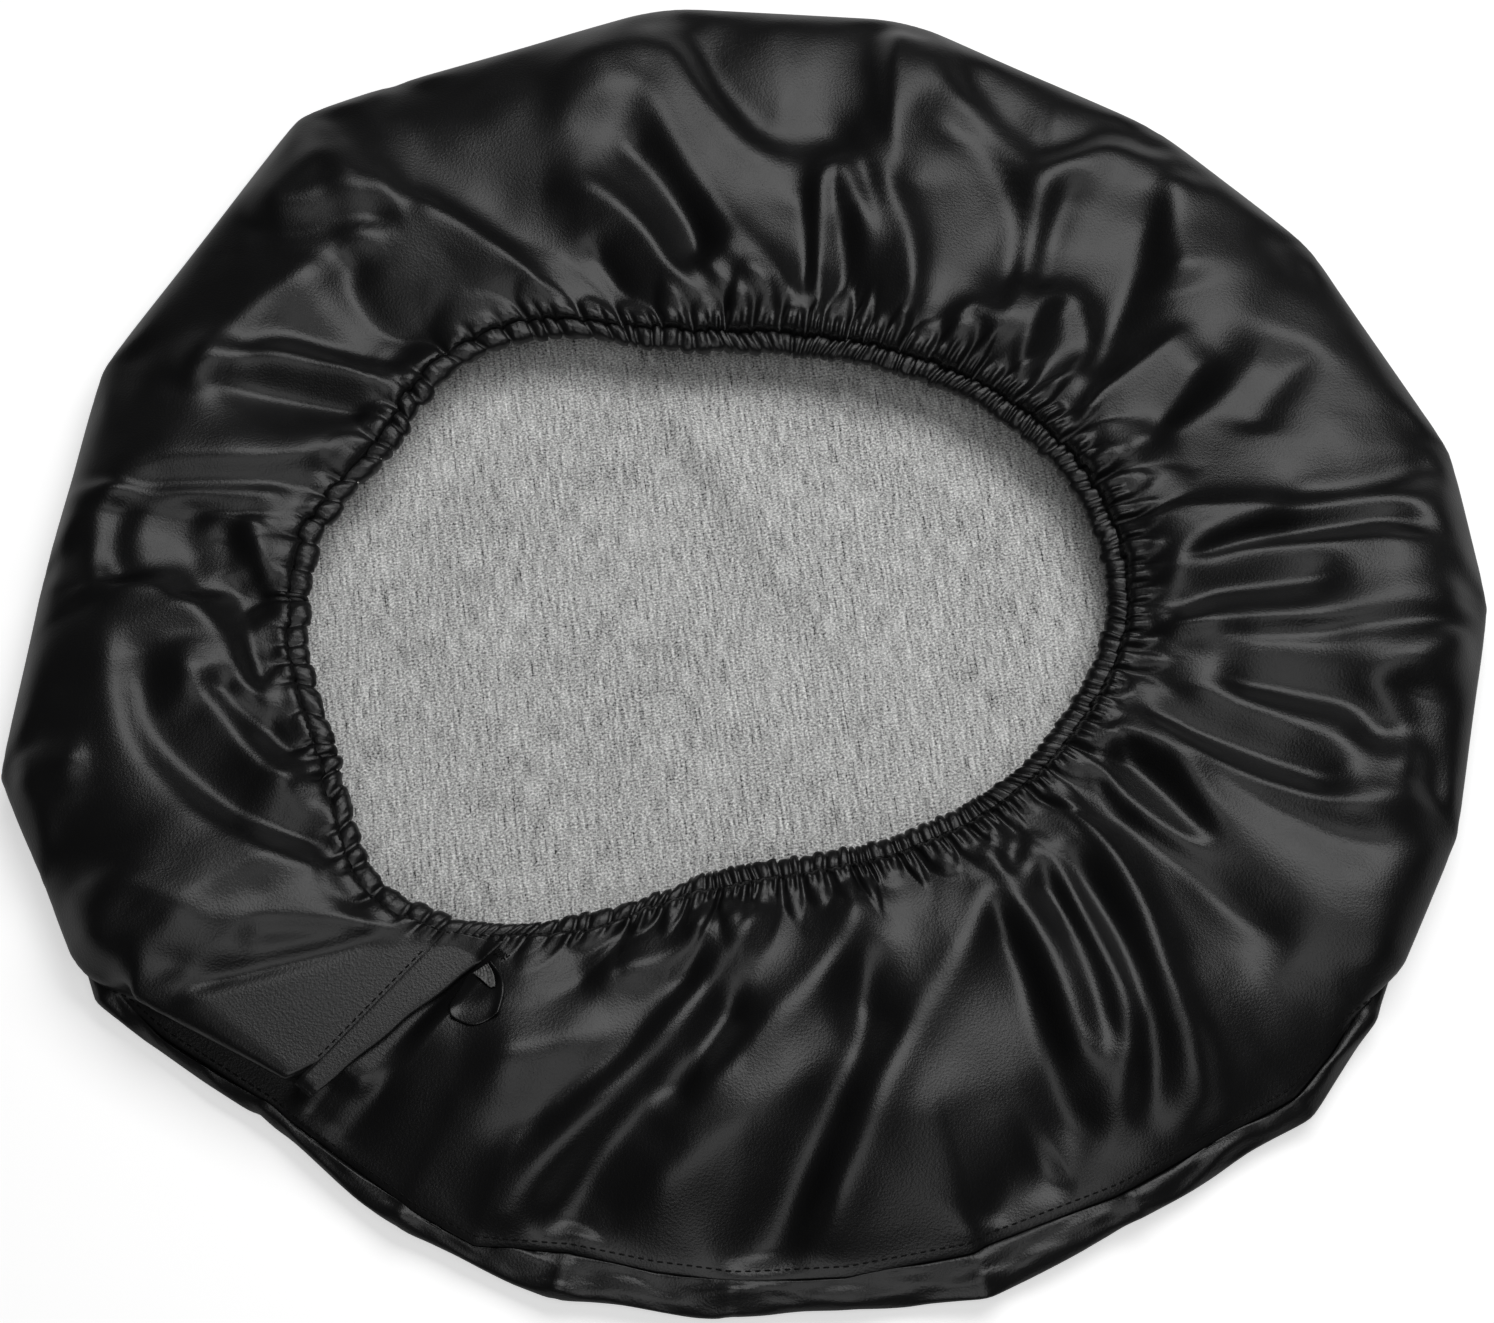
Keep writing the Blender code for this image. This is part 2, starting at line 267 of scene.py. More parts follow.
def corner_outline(radius):
    """The outline drawn nearly straight from corner to corner."""
    corners = CORNER_ANGLES
    proud = np.array([out for angle, out in CORNERS], float)
    at_corner = np.interp(corners, ANGLES, radius, period=360.0) + proud
    result = np.empty_like(radius)
    for k in range(len(corners)):
        a, b = corners[k], corners[(k + 1) % len(corners)]
        span = (b - a) % 360.0
        ra, rb = at_corner[k], at_corner[(k + 1) % len(corners)]
        along = (ANGLES - a) % 360.0
        inside = along < span
        one = np.radians(along[inside])
        two = np.radians(span - along[inside])
        chord = ra * rb * math.sin(math.radians(span)) / (ra * np.sin(one) + rb * np.sin(two))
        result[inside] = chord
    return smooth_ring(result, 1.2)


RIM = corner_outline(ring_radius("band_panel", True))
HEM = ring_radius("hem_casing", True)


def radius_at(curve, angle):
    return np.interp(wrap_degrees(angle), ANGLES, curve, period=360.0)


def plan_points(curve, angle):
    turn = np.radians(angle)
    radius = radius_at(curve, angle)
    return np.stack([radius * np.cos(turn), radius * np.sin(turn)], axis=-1)


def even_angles(curve, count):
    """Angles that split a closed plan curve into equal lengths, and the curve's length."""
    dense = np.arange(-180.0, 180.001, 0.25)
    run = run_lengths(plan_points(curve, dense))
    return np.interp(np.arange(count) / count * run[-1], run, dense), run[-1]


def roll_out(angle):
    """0 where the rim seam shows, 1 where the band rolls out over it."""
    middle = (SEAM_SHOWS[0] + SEAM_SHOWS[1]) / 2.0
    half = (SEAM_SHOWS[1] - SEAM_SHOWS[0]) / 2.0
    return smooth_step((np.abs(wrap_degrees(angle - middle)) - half) / SEAM_FADE)


def seam_inset(angle):
    """How far inside the outline the seam lies, in millimetres."""
    places, insets = zip(*SEAM_INSETS)
    shown = np.interp(angle, places, insets)
    return shown + (ROLLED[0][0] - shown) * roll_out(angle)


# ---------------------------------------------------------------- folds

# Each fold: plan points in millimetres, height (negative for a valley), and width to its
# left and right as one walks along it
FOLDS = [
    # top left
    ([(-245, 206), (-229, 223), (-213, 236), (-198, 224), (-178, 217)], 6, 8, 6),
    ([(-245, 203), (-225, 209), (-208, 217), (-192, 213), (-173, 211)], 6, 5, 6),
    ([(-173, 211), (-142, 194), (-115, 173), (-89, 145)], 9, 5, 20),
    ([(-246, 200), (-216, 194), (-180, 205)], -5, 8, 6),
    ([(-198, 188), (-197, 163), (-175, 141), (-146, 133)], -9, 12, 12),
    ([(-274, 115), (-252, 138), (-234, 156), (-210, 176), (-185, 197)], 7, 9, 8),
    ([(-259, 125), (-229, 138), (-194, 131), (-159, 126)], -6, 8, 7),
    ([(-271, 115), (-243, 123), (-203, 119), (-174, 112), (-153, 124)], 7, 6, 6),
    ([(-264, 111), (-223, 106), (-173, 97)], -8, 7, 8),
    ([(-306, 54), (-285, 66), (-248, 69), (-176, 76)], 6, 18, 8),
    ([(-298, 55), (-247, 57), (-198, 57)], -5, 8, 8),
    ([(-305, 54), (-310, 35), (-310, 12), (-304, 1)], 6, 7, 8),
    ([(-301, 48), (-303, 24), (-299, 2)], -7, 8, 6),
    ([(-295, 16), (-287, 39), (-271, 48), (-224, 52)], 4, 8, 8),
    ([(-267, 46), (-267, 20), (-260, -5)], -5, 9, 9),
    ([(-253, 35), (-237, 10), (-226, -11)], -5, 8, 8),
    ([(-238, 39), (-238, 29), (-225, 8)], 5, 9, 9),
    # left
    ([(-308, -7), (-288, -2), (-267, -9), (-251, -21), (-242, -40), (-229, -61)], 7, 8, 10),
    ([(-246, 9), (-240, -16), (-230, -49)], -6, 6, 6),
    ([(-305, -16), (-296, -54), (-280, -88), (-252, -116), (-217, -136), (-178, -140)], 9, 10, 18),
    ([(-286, -31), (-280, -67), (-259, -93), (-226, -116), (-178, -129)], -9, 10, 10),
    ([(-265, -31), (-262, -49), (-241, -73), (-220, -95), (-199, -90)], 7, 7, 8),
    ([(-254, -47), (-233, -64), (-208, -86)], -6, 7, 7),
    ([(-159, -166), (-200, -164), (-225, -164), (-245, -168), (-265, -159), (-285, -149),
       (-303, -145)], 8, 8, 9),
    ([(-165, -170), (-204, -170), (-231, -173)], -4, 6, 6),
    ([(-300, -149), (-294, -169), (-281, -183), (-261, -192), (-245, -196)], 4, 9, 7),
    ([(-292, -161), (-283, -173), (-258, -179), (-203, -175), (-174, -171)], 4, 6, 8),
    ([(-275, -181), (-237, -194), (-203, -184), (-172, -175)], -5, 6, 6),
    ([(-344, -91), (-327, -90), (-307, -88)], 5, 5, 5),
    # top
    ([(-98, 283), (-75, 296), (-55, 301), (-39, 292), (-23, 266), (-3, 244), (20, 234)], 9, 9, 12),
    ([(-98, 264), (-78, 272), (-61, 275), (-51, 264), (-38, 236), (-23, 211), (12, 168),
       (18, 150)], 8, 8, 12),
    ([(-68, 248), (-48, 229), (-32, 202), (-28, 181)], -8, 8, 8),
    ([(-97, 218), (-77, 213), (-58, 197), (-42, 174), (-19, 148)], 6, 6, 8),
    ([(-81, 190), (-69, 172), (-55, 152)], -5, 6, 6),
    ([(-31, 309), (-19, 280), (5, 252), (36, 251), (52, 236), (57, 204)], -8, 10, 10),
    ([(48, 250), (60, 229), (69, 208), (75, 186), (75, 161), (70, 132)], 9, 5, 14),
    ([(75, 319), (70, 288), (69, 257), (72, 227)], 7, 14, 4),
    ([(77, 311), (90, 285), (111, 259), (128, 235), (141, 228), (158, 235), (178, 241),
       (209, 229)], 7, 10, 10),
    ([(100, 292), (129, 259), (148, 245), (178, 253), (209, 245)], -6, 8, 8),
    ([(84, 264), (111, 248), (124, 222), (127, 195), (118, 154)], -7, 9, 9),
    ([(141, 227), (137, 195), (132, 168), (118, 132)], 7, 10, 10),
    ([(156, 224), (145, 195), (137, 163)], -8, 9, 8),
    ([(124, 106), (133, 139), (142, 157), (154, 160), (161, 143), (158, 126), (137, 105)], 5, 4, 4),
    ([(93, 121), (94, 137), (103, 150), (113, 143), (114, 132), (104, 115)], 4, 4, 4),
    ([(31, 150), (30, 183), (31, 218), (37, 230), (45, 222), (57, 186)], 6, 5, 5),
    ([(23, 222), (26, 195), (23, 161)], -6, 6, 6),
    ([(41, 204), (43, 177), (37, 150)], -4, 5, 5),
    ([(-27, 183), (-13, 161), (5, 138)], 5, 4, 4),
    ([(-19, 191), (-3, 172), (13, 149)], 5, 4, 6),
    ([(196, 213), (184, 172), (161, 119)], -7, 8, 10),
    ([(208, 227), (202, 195), (206, 165)], 6, 8, 6),
    # right
    ([(155, 69), (159, 94), (172, 109), (207, 137)], 6, 4, 8),
    ([(156, 68), (171, 67), (186, 78), (201, 98), (218, 124)], 7, 8, 6),
    ([(190, 83), (212, 96), (232, 113), (248, 132)], -8, 8, 12),
    ([(266, 130), (246, 105), (239, 88)], -5, 7, 7),
    ([(250, 53), (287, 57), (328, 69)], -4, 6, 5),
    ([(176, 32), (191, 39), (209, 41), (249, 42)], 5, 3, 8),
    ([(190, 6), (212, 26), (240, 37), (277, 43), (304, 45), (321, 34)], 6, 8, 5),
    ([(197, 12), (221, 23), (258, 33), (295, 39), (316, 31)], -8, 5, 6),
    ([(184, 2), (212, 14), (248, 23), (284, 24), (320, 20)], 6, 5, 10),
    ([(192, -12), (211, -2), (238, 4), (274, 9)], -7, 7, 10),
    ([(181, -20), (228, -17), (282, -13), (341, -6)], 8, 12, 4),
    ([(219, -21), (263, -21), (299, -16), (341, -15)], -6, 5, 9),
    ([(209, -28), (245, -29), (299, -28), (342, -23)], 5, 8, 12),
    ([(217, -45), (252, -51), (278, -59), (291, -82)], -8, 8, 8),
    ([(194, -47), (225, -59), (260, -74), (276, -90)], 5, 10, 10),
    ([(179, -59), (207, -72), (233, -82), (267, -99)], -9, 8, 9),
    ([(176, -63), (203, -84), (232, -99), (266, -111), (287, -107), (297, -92), (296, -67),
       (287, -47), (316, -33), (340, -26)], 7, 7, 7),
    ([(304, -43), (302, -67), (308, -90), (305, -105)], -5, 8, 8),
    ([(203, -88), (231, -105), (265, -122), (288, -126)], -5, 6, 10),
    ([(154, -69), (172, -74), (189, -84), (197, -95), (209, -119)], 6, 6, 5),
    ([(165, -76), (178, -90), (195, -109), (206, -122)], -7, 6, 6),
    ([(149, -72), (157, -86), (170, -107), (187, -122), (201, -128)], 6, 5, 6),
    ([(153, -90), (166, -112), (187, -129), (211, -152), (236, -173)], -8, 8, 9),
    ([(107, -112), (107, -133), (115, -144), (124, -137), (126, -122)], 5, 4, 4),
    # near side
    ([(139, -105), (158, -129), (173, -160), (181, -192), (192, -225), (196, -253)], 9, 4, 9),
    ([(144, -132), (160, -166), (171, -196), (175, -225), (171, -253)], -8, 6, 7),
    ([(113, -147), (128, -177), (140, -217), (152, -235)], 6, 6, 7),
    ([(132, -129), (148, -166), (161, -200), (165, -227), (161, -241), (151, -251)], 7, 6, 5),
    ([(107, -158), (120, -192), (130, -229), (137, -250), (151, -257)], -8, 6, 8),
    ([(129, -138), (146, -177), (155, -209), (157, -225)], -6, 5, 5),
    ([(103, -147), (98, -168), (84, -192), (67, -219), (55, -245), (43, -272), (27, -311)], 9, 8, 8),
    ([(50, -183), (43, -225), (27, -265), (8, -303), (-7, -338)], -9, 9, 10),
    ([(48, -140), (42, -170), (28, -192), (4, -217), (-18, -241), (-36, -257)], 8, 8, 10),
    ([(47, -213), (31, -234), (4, -253), (-24, -272), (-57, -291)], 5, 12, 12),
    ([(-8, -200), (-24, -225), (-38, -251)], -6, 7, 6),
    ([(8, -145), (-4, -168), (-20, -194), (-38, -219), (-57, -241), (-83, -265),
       (-113, -299)], 9, 7, 9),
    ([(-34, -229), (-57, -257), (-77, -282), (-92, -303)], -7, 8, 8),
    ([(-24, -181), (-44, -209), (-73, -237), (-110, -265)], -7, 8, 10),
    ([(-16, -155), (-24, -170), (-40, -183), (-74, -192)], 5, 6, 6),
    ([(-123, -231), (-93, -225), (-54, -217), (-28, -200)], 5, 10, 12),
    ([(131, -270), (113, -282), (105, -301)], -4, 7, 7),
    ([(-74, -303), (-84, -318), (-91, -332)], 4, 5, 5),
    ([(102, -301), (103, -318), (102, -331)], 4, 5, 5),
]
# Scales for every fold's height and width, and the most that folds add up to
FOLD_GAIN = 1.3
FOLD_SPREAD = 1.25
FOLD_CAP = 16.0


def distance_to_path(x, y, path):
    """Signed distance (left of the path is positive) and the share of the path's length.

    The share runs below 0 and above 1 beyond the path's ends.
    """
    path = catmull(np.array(path, float), 10)
    lengths = np.linalg.norm(np.diff(path, axis=0), axis=1)
    total = lengths.sum()
    best = np.full(x.shape, 1e9)
    side = np.zeros(x.shape)
    share = np.zeros(x.shape)
    run = 0.0
    lows = [-1e9] + [0.0] * (len(lengths) - 1)
    highs = list(lengths[:-1]) + [1e9]
    for (ax, ay), (bx, by), length, low, high in zip(path, path[1:], lengths, lows, highs):
        dx, dy = (bx - ax) / length, (by - ay) / length
        along = (x - ax) * dx + (y - ay) * dy
        held = np.clip(along, 0.0, length)
        gap = np.hypot(x - ax - held * dx, y - ay - held * dy)
        nearer = gap < best
        best = np.where(nearer, gap, best)
        side = np.where(nearer, dx * (y - ay) - dy * (x - ax), side)
        share = np.where(nearer, (run + np.clip(along, low, high)) / total, share)
        run += length
    return np.where(side >= 0, best, -best), share


def fold_height(x, y, crest):
    """Sum of all folds at plan positions; crest is the radius of their edges there."""
    height = np.zeros(x.shape)
    for path, rise, left, right in FOLDS:
        xs, ys = zip(*path)
        reach = 6.0 * max(left, right)
        near = (x > min(xs) - reach) & (x < max(xs) + reach)
        near &= (y > min(ys) - reach) & (y < max(ys) + reach)
        distance, share = distance_to_path(x[near], y[near], path)
        width = FOLD_SPREAD * np.where(distance > 0, left, right)
        across = np.exp(-(np.hypot(distance, crest[near]) - crest[near]) / width)
        fade = smooth_step((share + 0.10) / 0.25) * smooth_step((1.10 - share) / 0.25)
        height[near] += FOLD_GAIN * rise * across * fade
    return FOLD_CAP * np.tanh(height / FOLD_CAP)


def lap_coordinates(x, y):
    """Distances along the lap's stitches and across to the free edge's side."""
    turn = math.radians(LAP_HEADING)
    dx, dy = np.asarray(x) - LAP_ROOT[0], np.asarray(y) - LAP_ROOT[1]
    along = dx * math.cos(turn) + dy * math.sin(turn)
    across = -dx * math.sin(turn) + dy * math.cos(turn)
    return along, across


def lap_width(along):
    places, widths = zip(*LAP_FREE_EDGE)
    return np.interp(along, places, widths)


def lap_drop(x, y):
    """How far the band dips to pass under the lap, in millimetres."""
    along, across = lap_coordinates(x, y)
    down = smooth_step((across - 1.5) / 9.0)
    back_up = smooth_step((across - lap_width(along)) / 60.0)
    ends = smooth_step((along + 24.0) / 14.0) * smooth_step((96.0 - along) / 16.0)
    return LAP_STEP * down * (1.0 - back_up) * ends


def lap_calm(x, y):
    """1 on the smooth taut cloth of the lap, wider towards its fold, and 0 away from it."""
    along, across = lap_coordinates(x, y)
    reach = 22.0 + 0.62 * np.clip(along, 0.0, 100.0)
    near = smooth_step((across + reach) / 16.0) * smooth_step((30.0 - across) / 12.0)
    return near * smooth_step((along + 30.0) / 20.0)


def lap_plane(x, y):
    """Height of the flat cloth of the lap."""
    along, across = lap_coordinates(x, y)
    return LAP_HEIGHT + LAP_RISE * along - LAP_FALL * across


# ---------------------------------------------------------------- gathers at the hem


def tightness(angle):
    """1 where the hem is densely gathered, on the right, and 0 on the loose left."""
    away = np.abs(wrap_degrees(angle - 178.0))
    return smooth_step((away - 40.0) / 50.0)


def taut(angle):
    """1 at the flat stretch of casing over the lap."""
    return bell((wrap_degrees(angle + 127.5)) / 4.5)


HEM_ANGLES, HEM_LENGTH = even_angles(HEM, HEM_SAMPLES)
HEM_SHARES = np.arange(HEM_SAMPLES) / HEM_SAMPLES


def make_gathers():
    """Hem share (0 to 1) at which each gather starts."""
    starts = []
    at = 0.0
    while at < HEM_LENGTH - SHORTEST_GATHER:
        starts.append(at / HEM_LENGTH)
        here = np.interp(at / HEM_LENGTH, HEM_SHARES, HEM_ANGLES)
        pitch = LOOSE_PITCH - (LOOSE_PITCH - DENSE_PITCH) * tightness(here)
        pitch += (LAP_PITCH - pitch) * taut(here)
        at += pitch * RNG.uniform(0.6, 1.45)
    return np.array(starts)


def group_starts(starts, fewest, most):
    """Starts of neighbouring gathers run together, a random few at a time."""
    picked = []
    k = 0
    while k < len(starts):
        picked.append(starts[k])
        k += int(RNG.integers(fewest, most + 1))
    return np.array(picked)


GATHERS = make_gathers()
PAIRS = group_starts(GATHERS, 2, 3)
GROUPS = group_starts(PAIRS, 2, 3)


def make_columns():
    """Hem share of each column of the cloth, evenly spaced within each gather."""
    shares = []
    for start, after in zip(GATHERS, np.append(GATHERS[1:], 1.0)):
        count = max(GATHER_COLUMNS, int(round((after - start) * HEM_LENGTH / COLUMN_PITCH)))
        shares.append(start + (after - start) * np.arange(count) / count)
    return np.concatenate(shares)


COLUMN_SHARES = make_columns()
COLUMN_ANGLES = np.interp(COLUMN_SHARES, HEM_SHARES, HEM_ANGLES)
LOOSENESS = 1.0 - tightness(COLUMN_ANGLES)


def in_gather(starts, shares):
    """Which gather each share falls in, and how far through it, 0 to 1."""
    index = np.searchsorted(starts, shares + 1e-9, side="right") - 1
    after = np.append(starts[1:], 1.0)
    return index, (shares - starts[index]) / (after[index] - starts[index])


def tongue(starts, shares, from_hem, heights, reaches):
    """Puffed tongues of cloth that start at the hem and end in a round tip."""
    index, through = in_gather(starts, shares)
    side = (2.0 * through - 1.0) ** 2
    out = np.square(from_hem / reaches[index][:, None])
    dome = np.sqrt(np.clip(1.0 - side[:, None] - out, 0.0, 1.0))
    start = smooth_step(0.25 + from_hem / 4.0)
    return heights[index][:, None] * dome * start


# Tongues of cloth at the hem: where they start, their least and greatest height and reach in
# millimetres, and how much lower they are on the loose side
GATHER_SIZES = [
    (GATHERS, 1.2, 2.6, 5, 13, 0.9),
    (PAIRS, 1.8, 4.2, 12, 28, 0.5),
    (GROUPS, 1.2, 3.6, 26, 50, 0.4),
]


def gather_height(from_hem):
    """Height of the hem's gathers on the band, given each point's distance from the hem."""
    calm = 1.0 - 0.85 * taut(COLUMN_ANGLES)
    total = np.zeros_like(from_hem)
    for starts, low, high, near, far, less in GATHER_SIZES:
        heights = RNG.uniform(low, high, len(starts))
        reaches = RNG.uniform(near, far, len(starts))
        tongues = tongue(starts, COLUMN_SHARES, from_hem, heights, reaches)
        total += tongues * (1.0 - less * LOOSENESS)[:, None]
    return total * calm[:, None]


# ---------------------------------------------------------------- the band's cloth


def tuck_share(angle):
    """1 where the band's end is folded under, 0 elsewhere."""
    return smooth_step((angle - TUCK_FROM) / 5.0) * smooth_step((TUCK_TO - angle) / 2.5 + 1.0)


def tuck_inset(angle, rim):
    """How far inside the outline the folded edge lies, along the ray at this angle."""
    (ax, ay), (bx, by) = TUCK_LINE
    turn = math.radians(angle)
    cx, cy = math.cos(turn), math.sin(turn)
    radius = (ax * (by - ay) - ay * (bx - ax)) / (cx * (by - ay) - cy * (bx - ax))
    return float(np.clip(rim - radius, 2.0, 22.0))


def corner_pinch(angle, rim, inset):
    """How strongly the roll is pinched towards a corner of the outline, 0 to 1."""
    away = np.abs(wrap_degrees(angle - CORNER_ANGLES)).min()
    distance = math.radians(float(away)) * rim
    return float(bell(distance / (3.0 + 0.9 * inset)))


def band_guide(angle):
    """Points across the band at one angle, as (inset from the outline, height)."""
    rim = float(radius_at(RIM, angle))
    hem = rim - float(radius_at(HEM, angle)) + CASING_COVERED
    out = float(roll_out(angle))
    tuck = float(tuck_share(angle))
    fold = tuck_inset(angle, rim)
    seam = float(seam_inset(angle))
    tucked = [
        (seam, 13), (seam + 2, 14.5), (max(seam + 5, fold + 5), 17), (fold + 5, 23),
        (fold + 1.2, 28.5), (fold, 31), (fold + 2, 33), (fold + 20, 34),
    ]
    guide = []
    for rolled, pinched, shown, folded in zip(ROLLED, PINCHED, SHOWN, tucked):
        pinch = corner_pinch(angle, rim, rolled[0])
        edge = np.array(rolled) + (np.array(pinched) - np.array(rolled)) * pinch
        near = np.array(shown) + np.array([seam, 0.0])
        plain = near + (edge - near) * out
        guide.append(plain + (np.array(folded) - plain) * tuck)
    inner = guide[-1]
    drop = (inner[1] - HEM_TOP) / INNER_DROP[-1][1]
    for share, fall in INNER_DROP:
        guide.append(np.array([inner[0] + (hem - inner[0]) * share, inner[1] - fall * drop]))
    return rim, np.array(guide)


def row_shares(rows):
    """Shares of the band's width, closer together at the seam and at the hem."""
    t = np.arange(rows + 1) / rows
    return t - 0.085 * np.sin(2.0 * math.pi * t)


def bare_band(angles, rows):
    """The band's profile swept round the cover, as points (columns, rows + 1, 3)."""
    shares = row_shares(rows)
    points = np.empty((len(angles), rows + 1, 3))
    for i, angle in enumerate(angles):
        rim, guide = band_guide(angle)
        curve = catmull(guide, 8)
        run = run_lengths(curve)
        radius = rim - np.interp(shares * run[-1], run, curve[:, 0])
        turn = math.radians(angle)
        points[i, :, 0] = radius * math.cos(turn)
        points[i, :, 1] = radius * math.sin(turn)
        points[i, :, 2] = np.interp(shares * run[-1], run, curve[:, 1])
    return points


def folded_band(bare, angles, rows, crest):
    """The swept band with its folds, its slow waves and its dip under the lap."""
    shares = row_shares(rows)[None, :]
    out = roll_out(angles)[:, None]
    over = smooth_step((shares - 0.01 - 0.10 * out) / 0.09) * smooth_step((1.0 - shares) / 0.13)
    x, y = bare[..., 0], bare[..., 1]
    waves = 1.3 * ripples(x, y, 95.0, 3) + 0.25 * ripples(x, y, 40.0, 4)
    rounder = 0.5 + 2.4 * (1.0 - shares)
    height = fold_height(x, y, np.broadcast_to(crest * rounder, x.shape)) + waves
    points = bare.copy()
    calm = lap_calm(x, y)
    flat = calm * smooth_step((shares - 0.22) / 0.10)
    points[..., 2] += height * over * (1.0 - calm)
    points[..., 2] += (lap_plane(x, y) - points[..., 2]) * flat
    points[..., 2] -= lap_drop(x, y) * over
    return points


def shift_round(values, step):
    return np.roll(values, step, axis=0)


def pull_pairs(gap, rest, strength):
    length = np.sqrt((gap * gap).sum(-1))
    share = 0.5 * strength * (length - rest) / np.maximum(length, 1e-6)
    return gap * share[..., None]


def relax(guide, rest, steps, gravity, bend, hold):
    """Position-based cloth: points settle from the guide, held a little to it.

    Edges and diagonals keep their rest lengths, bending is smoothed, neighbouring columns stay
    in order, nothing sinks through the floor, and the seam and the hem don't move.
    """
    rest_round, rest_across, rest_falling, rest_rising = rest
    p = guide.copy()
    before = p.copy()
    first, last = p[:, 0].copy(), p[:, -1].copy()
    outward = first[:, :2] / np.linalg.norm(first[:, :2], axis=1)[:, None]
    tangent = np.stack([-outward[:, 1], outward[:, 0]], axis=-1)[:, None, :]
    nominal = np.linalg.norm(shift_round(guide, -1)[..., :2] - guide[..., :2], axis=-1)
    for _ in range(steps):
        velocity = (p - before) * SPEED_KEPT
        before = p.copy()
        p += velocity
        p[..., 2] -= gravity
        p += (guide - p) * hold

        move = pull_pairs(shift_round(p, -1) - p, rest_round, EDGE_PULL)
        p += move
        p -= shift_round(move, 1)

        move = pull_pairs(p[:, 1:] - p[:, :-1], rest_across, EDGE_PULL)
        p[:, :-1] += move
        p[:, 1:] -= move

        move = pull_pairs(shift_round(p, -1)[:, 1:] - p[:, :-1], rest_falling, DIAGONAL_PULL)
        p[:, :-1] += move
        p[:, 1:] -= shift_round(move, 1)
        move = pull_pairs(shift_round(p, -1)[:, :-1] - p[:, 1:], rest_rising, DIAGONAL_PULL)
        p[:, 1:] += move
        p[:, :-1] -= shift_round(move, 1)

        curve = p - 0.5 * (shift_round(p, 1) + shift_round(p, -1))
        p -= bend * (curve - 0.5 * (shift_round(curve, 1) + shift_round(curve, -1))) * 0.6
        curve = p[:, 1:-1] - 0.5 * (p[:, :-2] + p[:, 2:])
        p[:, 1:-1] -= bend * curve * 0.6
        p[:, :-2] += bend * curve * 0.3
        p[:, 2:] += bend * curve * 0.3

        along = ((shift_round(p, -1) - p)[..., :2] * tangent).sum(-1)
        lack = np.maximum(CLOSEST_COLUMNS * nominal - along, 0.0)[..., None] * tangent * 0.5
        p[..., :2] -= lack
        p[..., :2] += shift_round(lack, 1)

        p[..., 2] = np.maximum(p[..., 2], CLOTH_FLOOR)
        p[:, 0] = first
        p[:, -1] = last
    return p


def rest_lengths(points, slack_round, slack_across):
    """Rest length of each edge and diagonal: its designed length and a little slack."""
    after = shift_round(points, -1)
    around = np.linalg.norm(after - points, axis=-1) * (1.0 + slack_round)
    across = np.linalg.norm(np.diff(points, axis=1), axis=-1) * (1.0 + slack_across)
    falling = np.linalg.norm(after[:, 1:] - points[:, :-1], axis=-1) * (1.0 + slack_across)
    rising = np.linalg.norm(after[:, :-1] - points[:, 1:], axis=-1) * (1.0 + slack_across)
    return around, across, falling, rising


def resample(field, angles, rows):
    """A coarse field (even columns of the outline) read off at other angles and rows."""
    coarse, _ = even_angles(RIM, field.shape[0])
    old = row_shares(field.shape[1] - 1)
    new = row_shares(rows)
    round_cover = np.empty((len(angles), field.shape[1], 3))
    for j in range(field.shape[1]):
        for k in range(3):
            round_cover[:, j, k] = np.interp(angles, coarse, field[:, j, k], period=360.0)
    result = np.empty((len(angles), rows + 1, 3))
    for i in range(len(angles)):
        for k in range(3):
            result[i, :, k] = np.interp(new, old, round_cover[i, :, k])
    return result


def simulate_band(hem):
    """Points of the band's outer side.

    A coarse cloth settles first.  How far it moved is carried over to the fine cloth, which
    gets the gathers, is drawn to the hem and settles a little more.
    """
    coarse_angles, _ = even_angles(RIM, COARSE_COLUMNS)
    coarse = folded_band(bare_band(coarse_angles, COARSE_ROWS), coarse_angles, COARSE_ROWS, 7.0)
    slack = 0.03 * smooth_step(row_shares(COARSE_ROWS) / 0.7)[None, :]
    rest = rest_lengths(coarse, slack, 0.02)
    steps = 300
    settled = relax(coarse, rest, steps, gravity=0.010, bend=0.3, hold=0.012)

    angles = COLUMN_ANGLES
    fine = folded_band(bare_band(angles, ROWS), angles, ROWS, 3.5)
    from_hem = np.linalg.norm(fine - fine[:, -1:], axis=-1)
    edge = tuck_share(angles)[:, None] * smooth_step((0.45 - row_shares(ROWS)[None, :]) / 0.15)
    free = 1.0 - np.maximum(lap_calm(fine[..., 0], fine[..., 1]), edge)
    fine[..., 2] += gather_height(from_hem) * free
    moved = resample(smooth_ring(settled - coarse, 1.5), angles, ROWS)
    fine = fine + smooth_rows(smooth_ring(moved, 3.0)) * free[..., None]
    to_hem = bell(from_hem / 5.0)[..., None]
    fine = fine + (hem - fine[:, -1])[:, None, :] * to_hem
    rest = rest_lengths(fine, 0.0, 0.0)
    steps = 40
    return relax(fine, rest, steps, gravity=0.003, bend=0.08, hold=0.05)


# ---------------------------------------------------------------- meshes


def grid_faces(columns, rows, closed=True):
    """Quads of a grid whose points are numbered column by column."""
    last = columns if closed else columns - 1
    i = np.arange(last)[:, None]
    j = np.arange(rows - 1)[None, :]
    here = i * rows + j
    after = ((i + 1) % columns) * rows + j
    return np.stack([here, after, after + 1, here + 1], axis=-1).reshape(-1, 4)


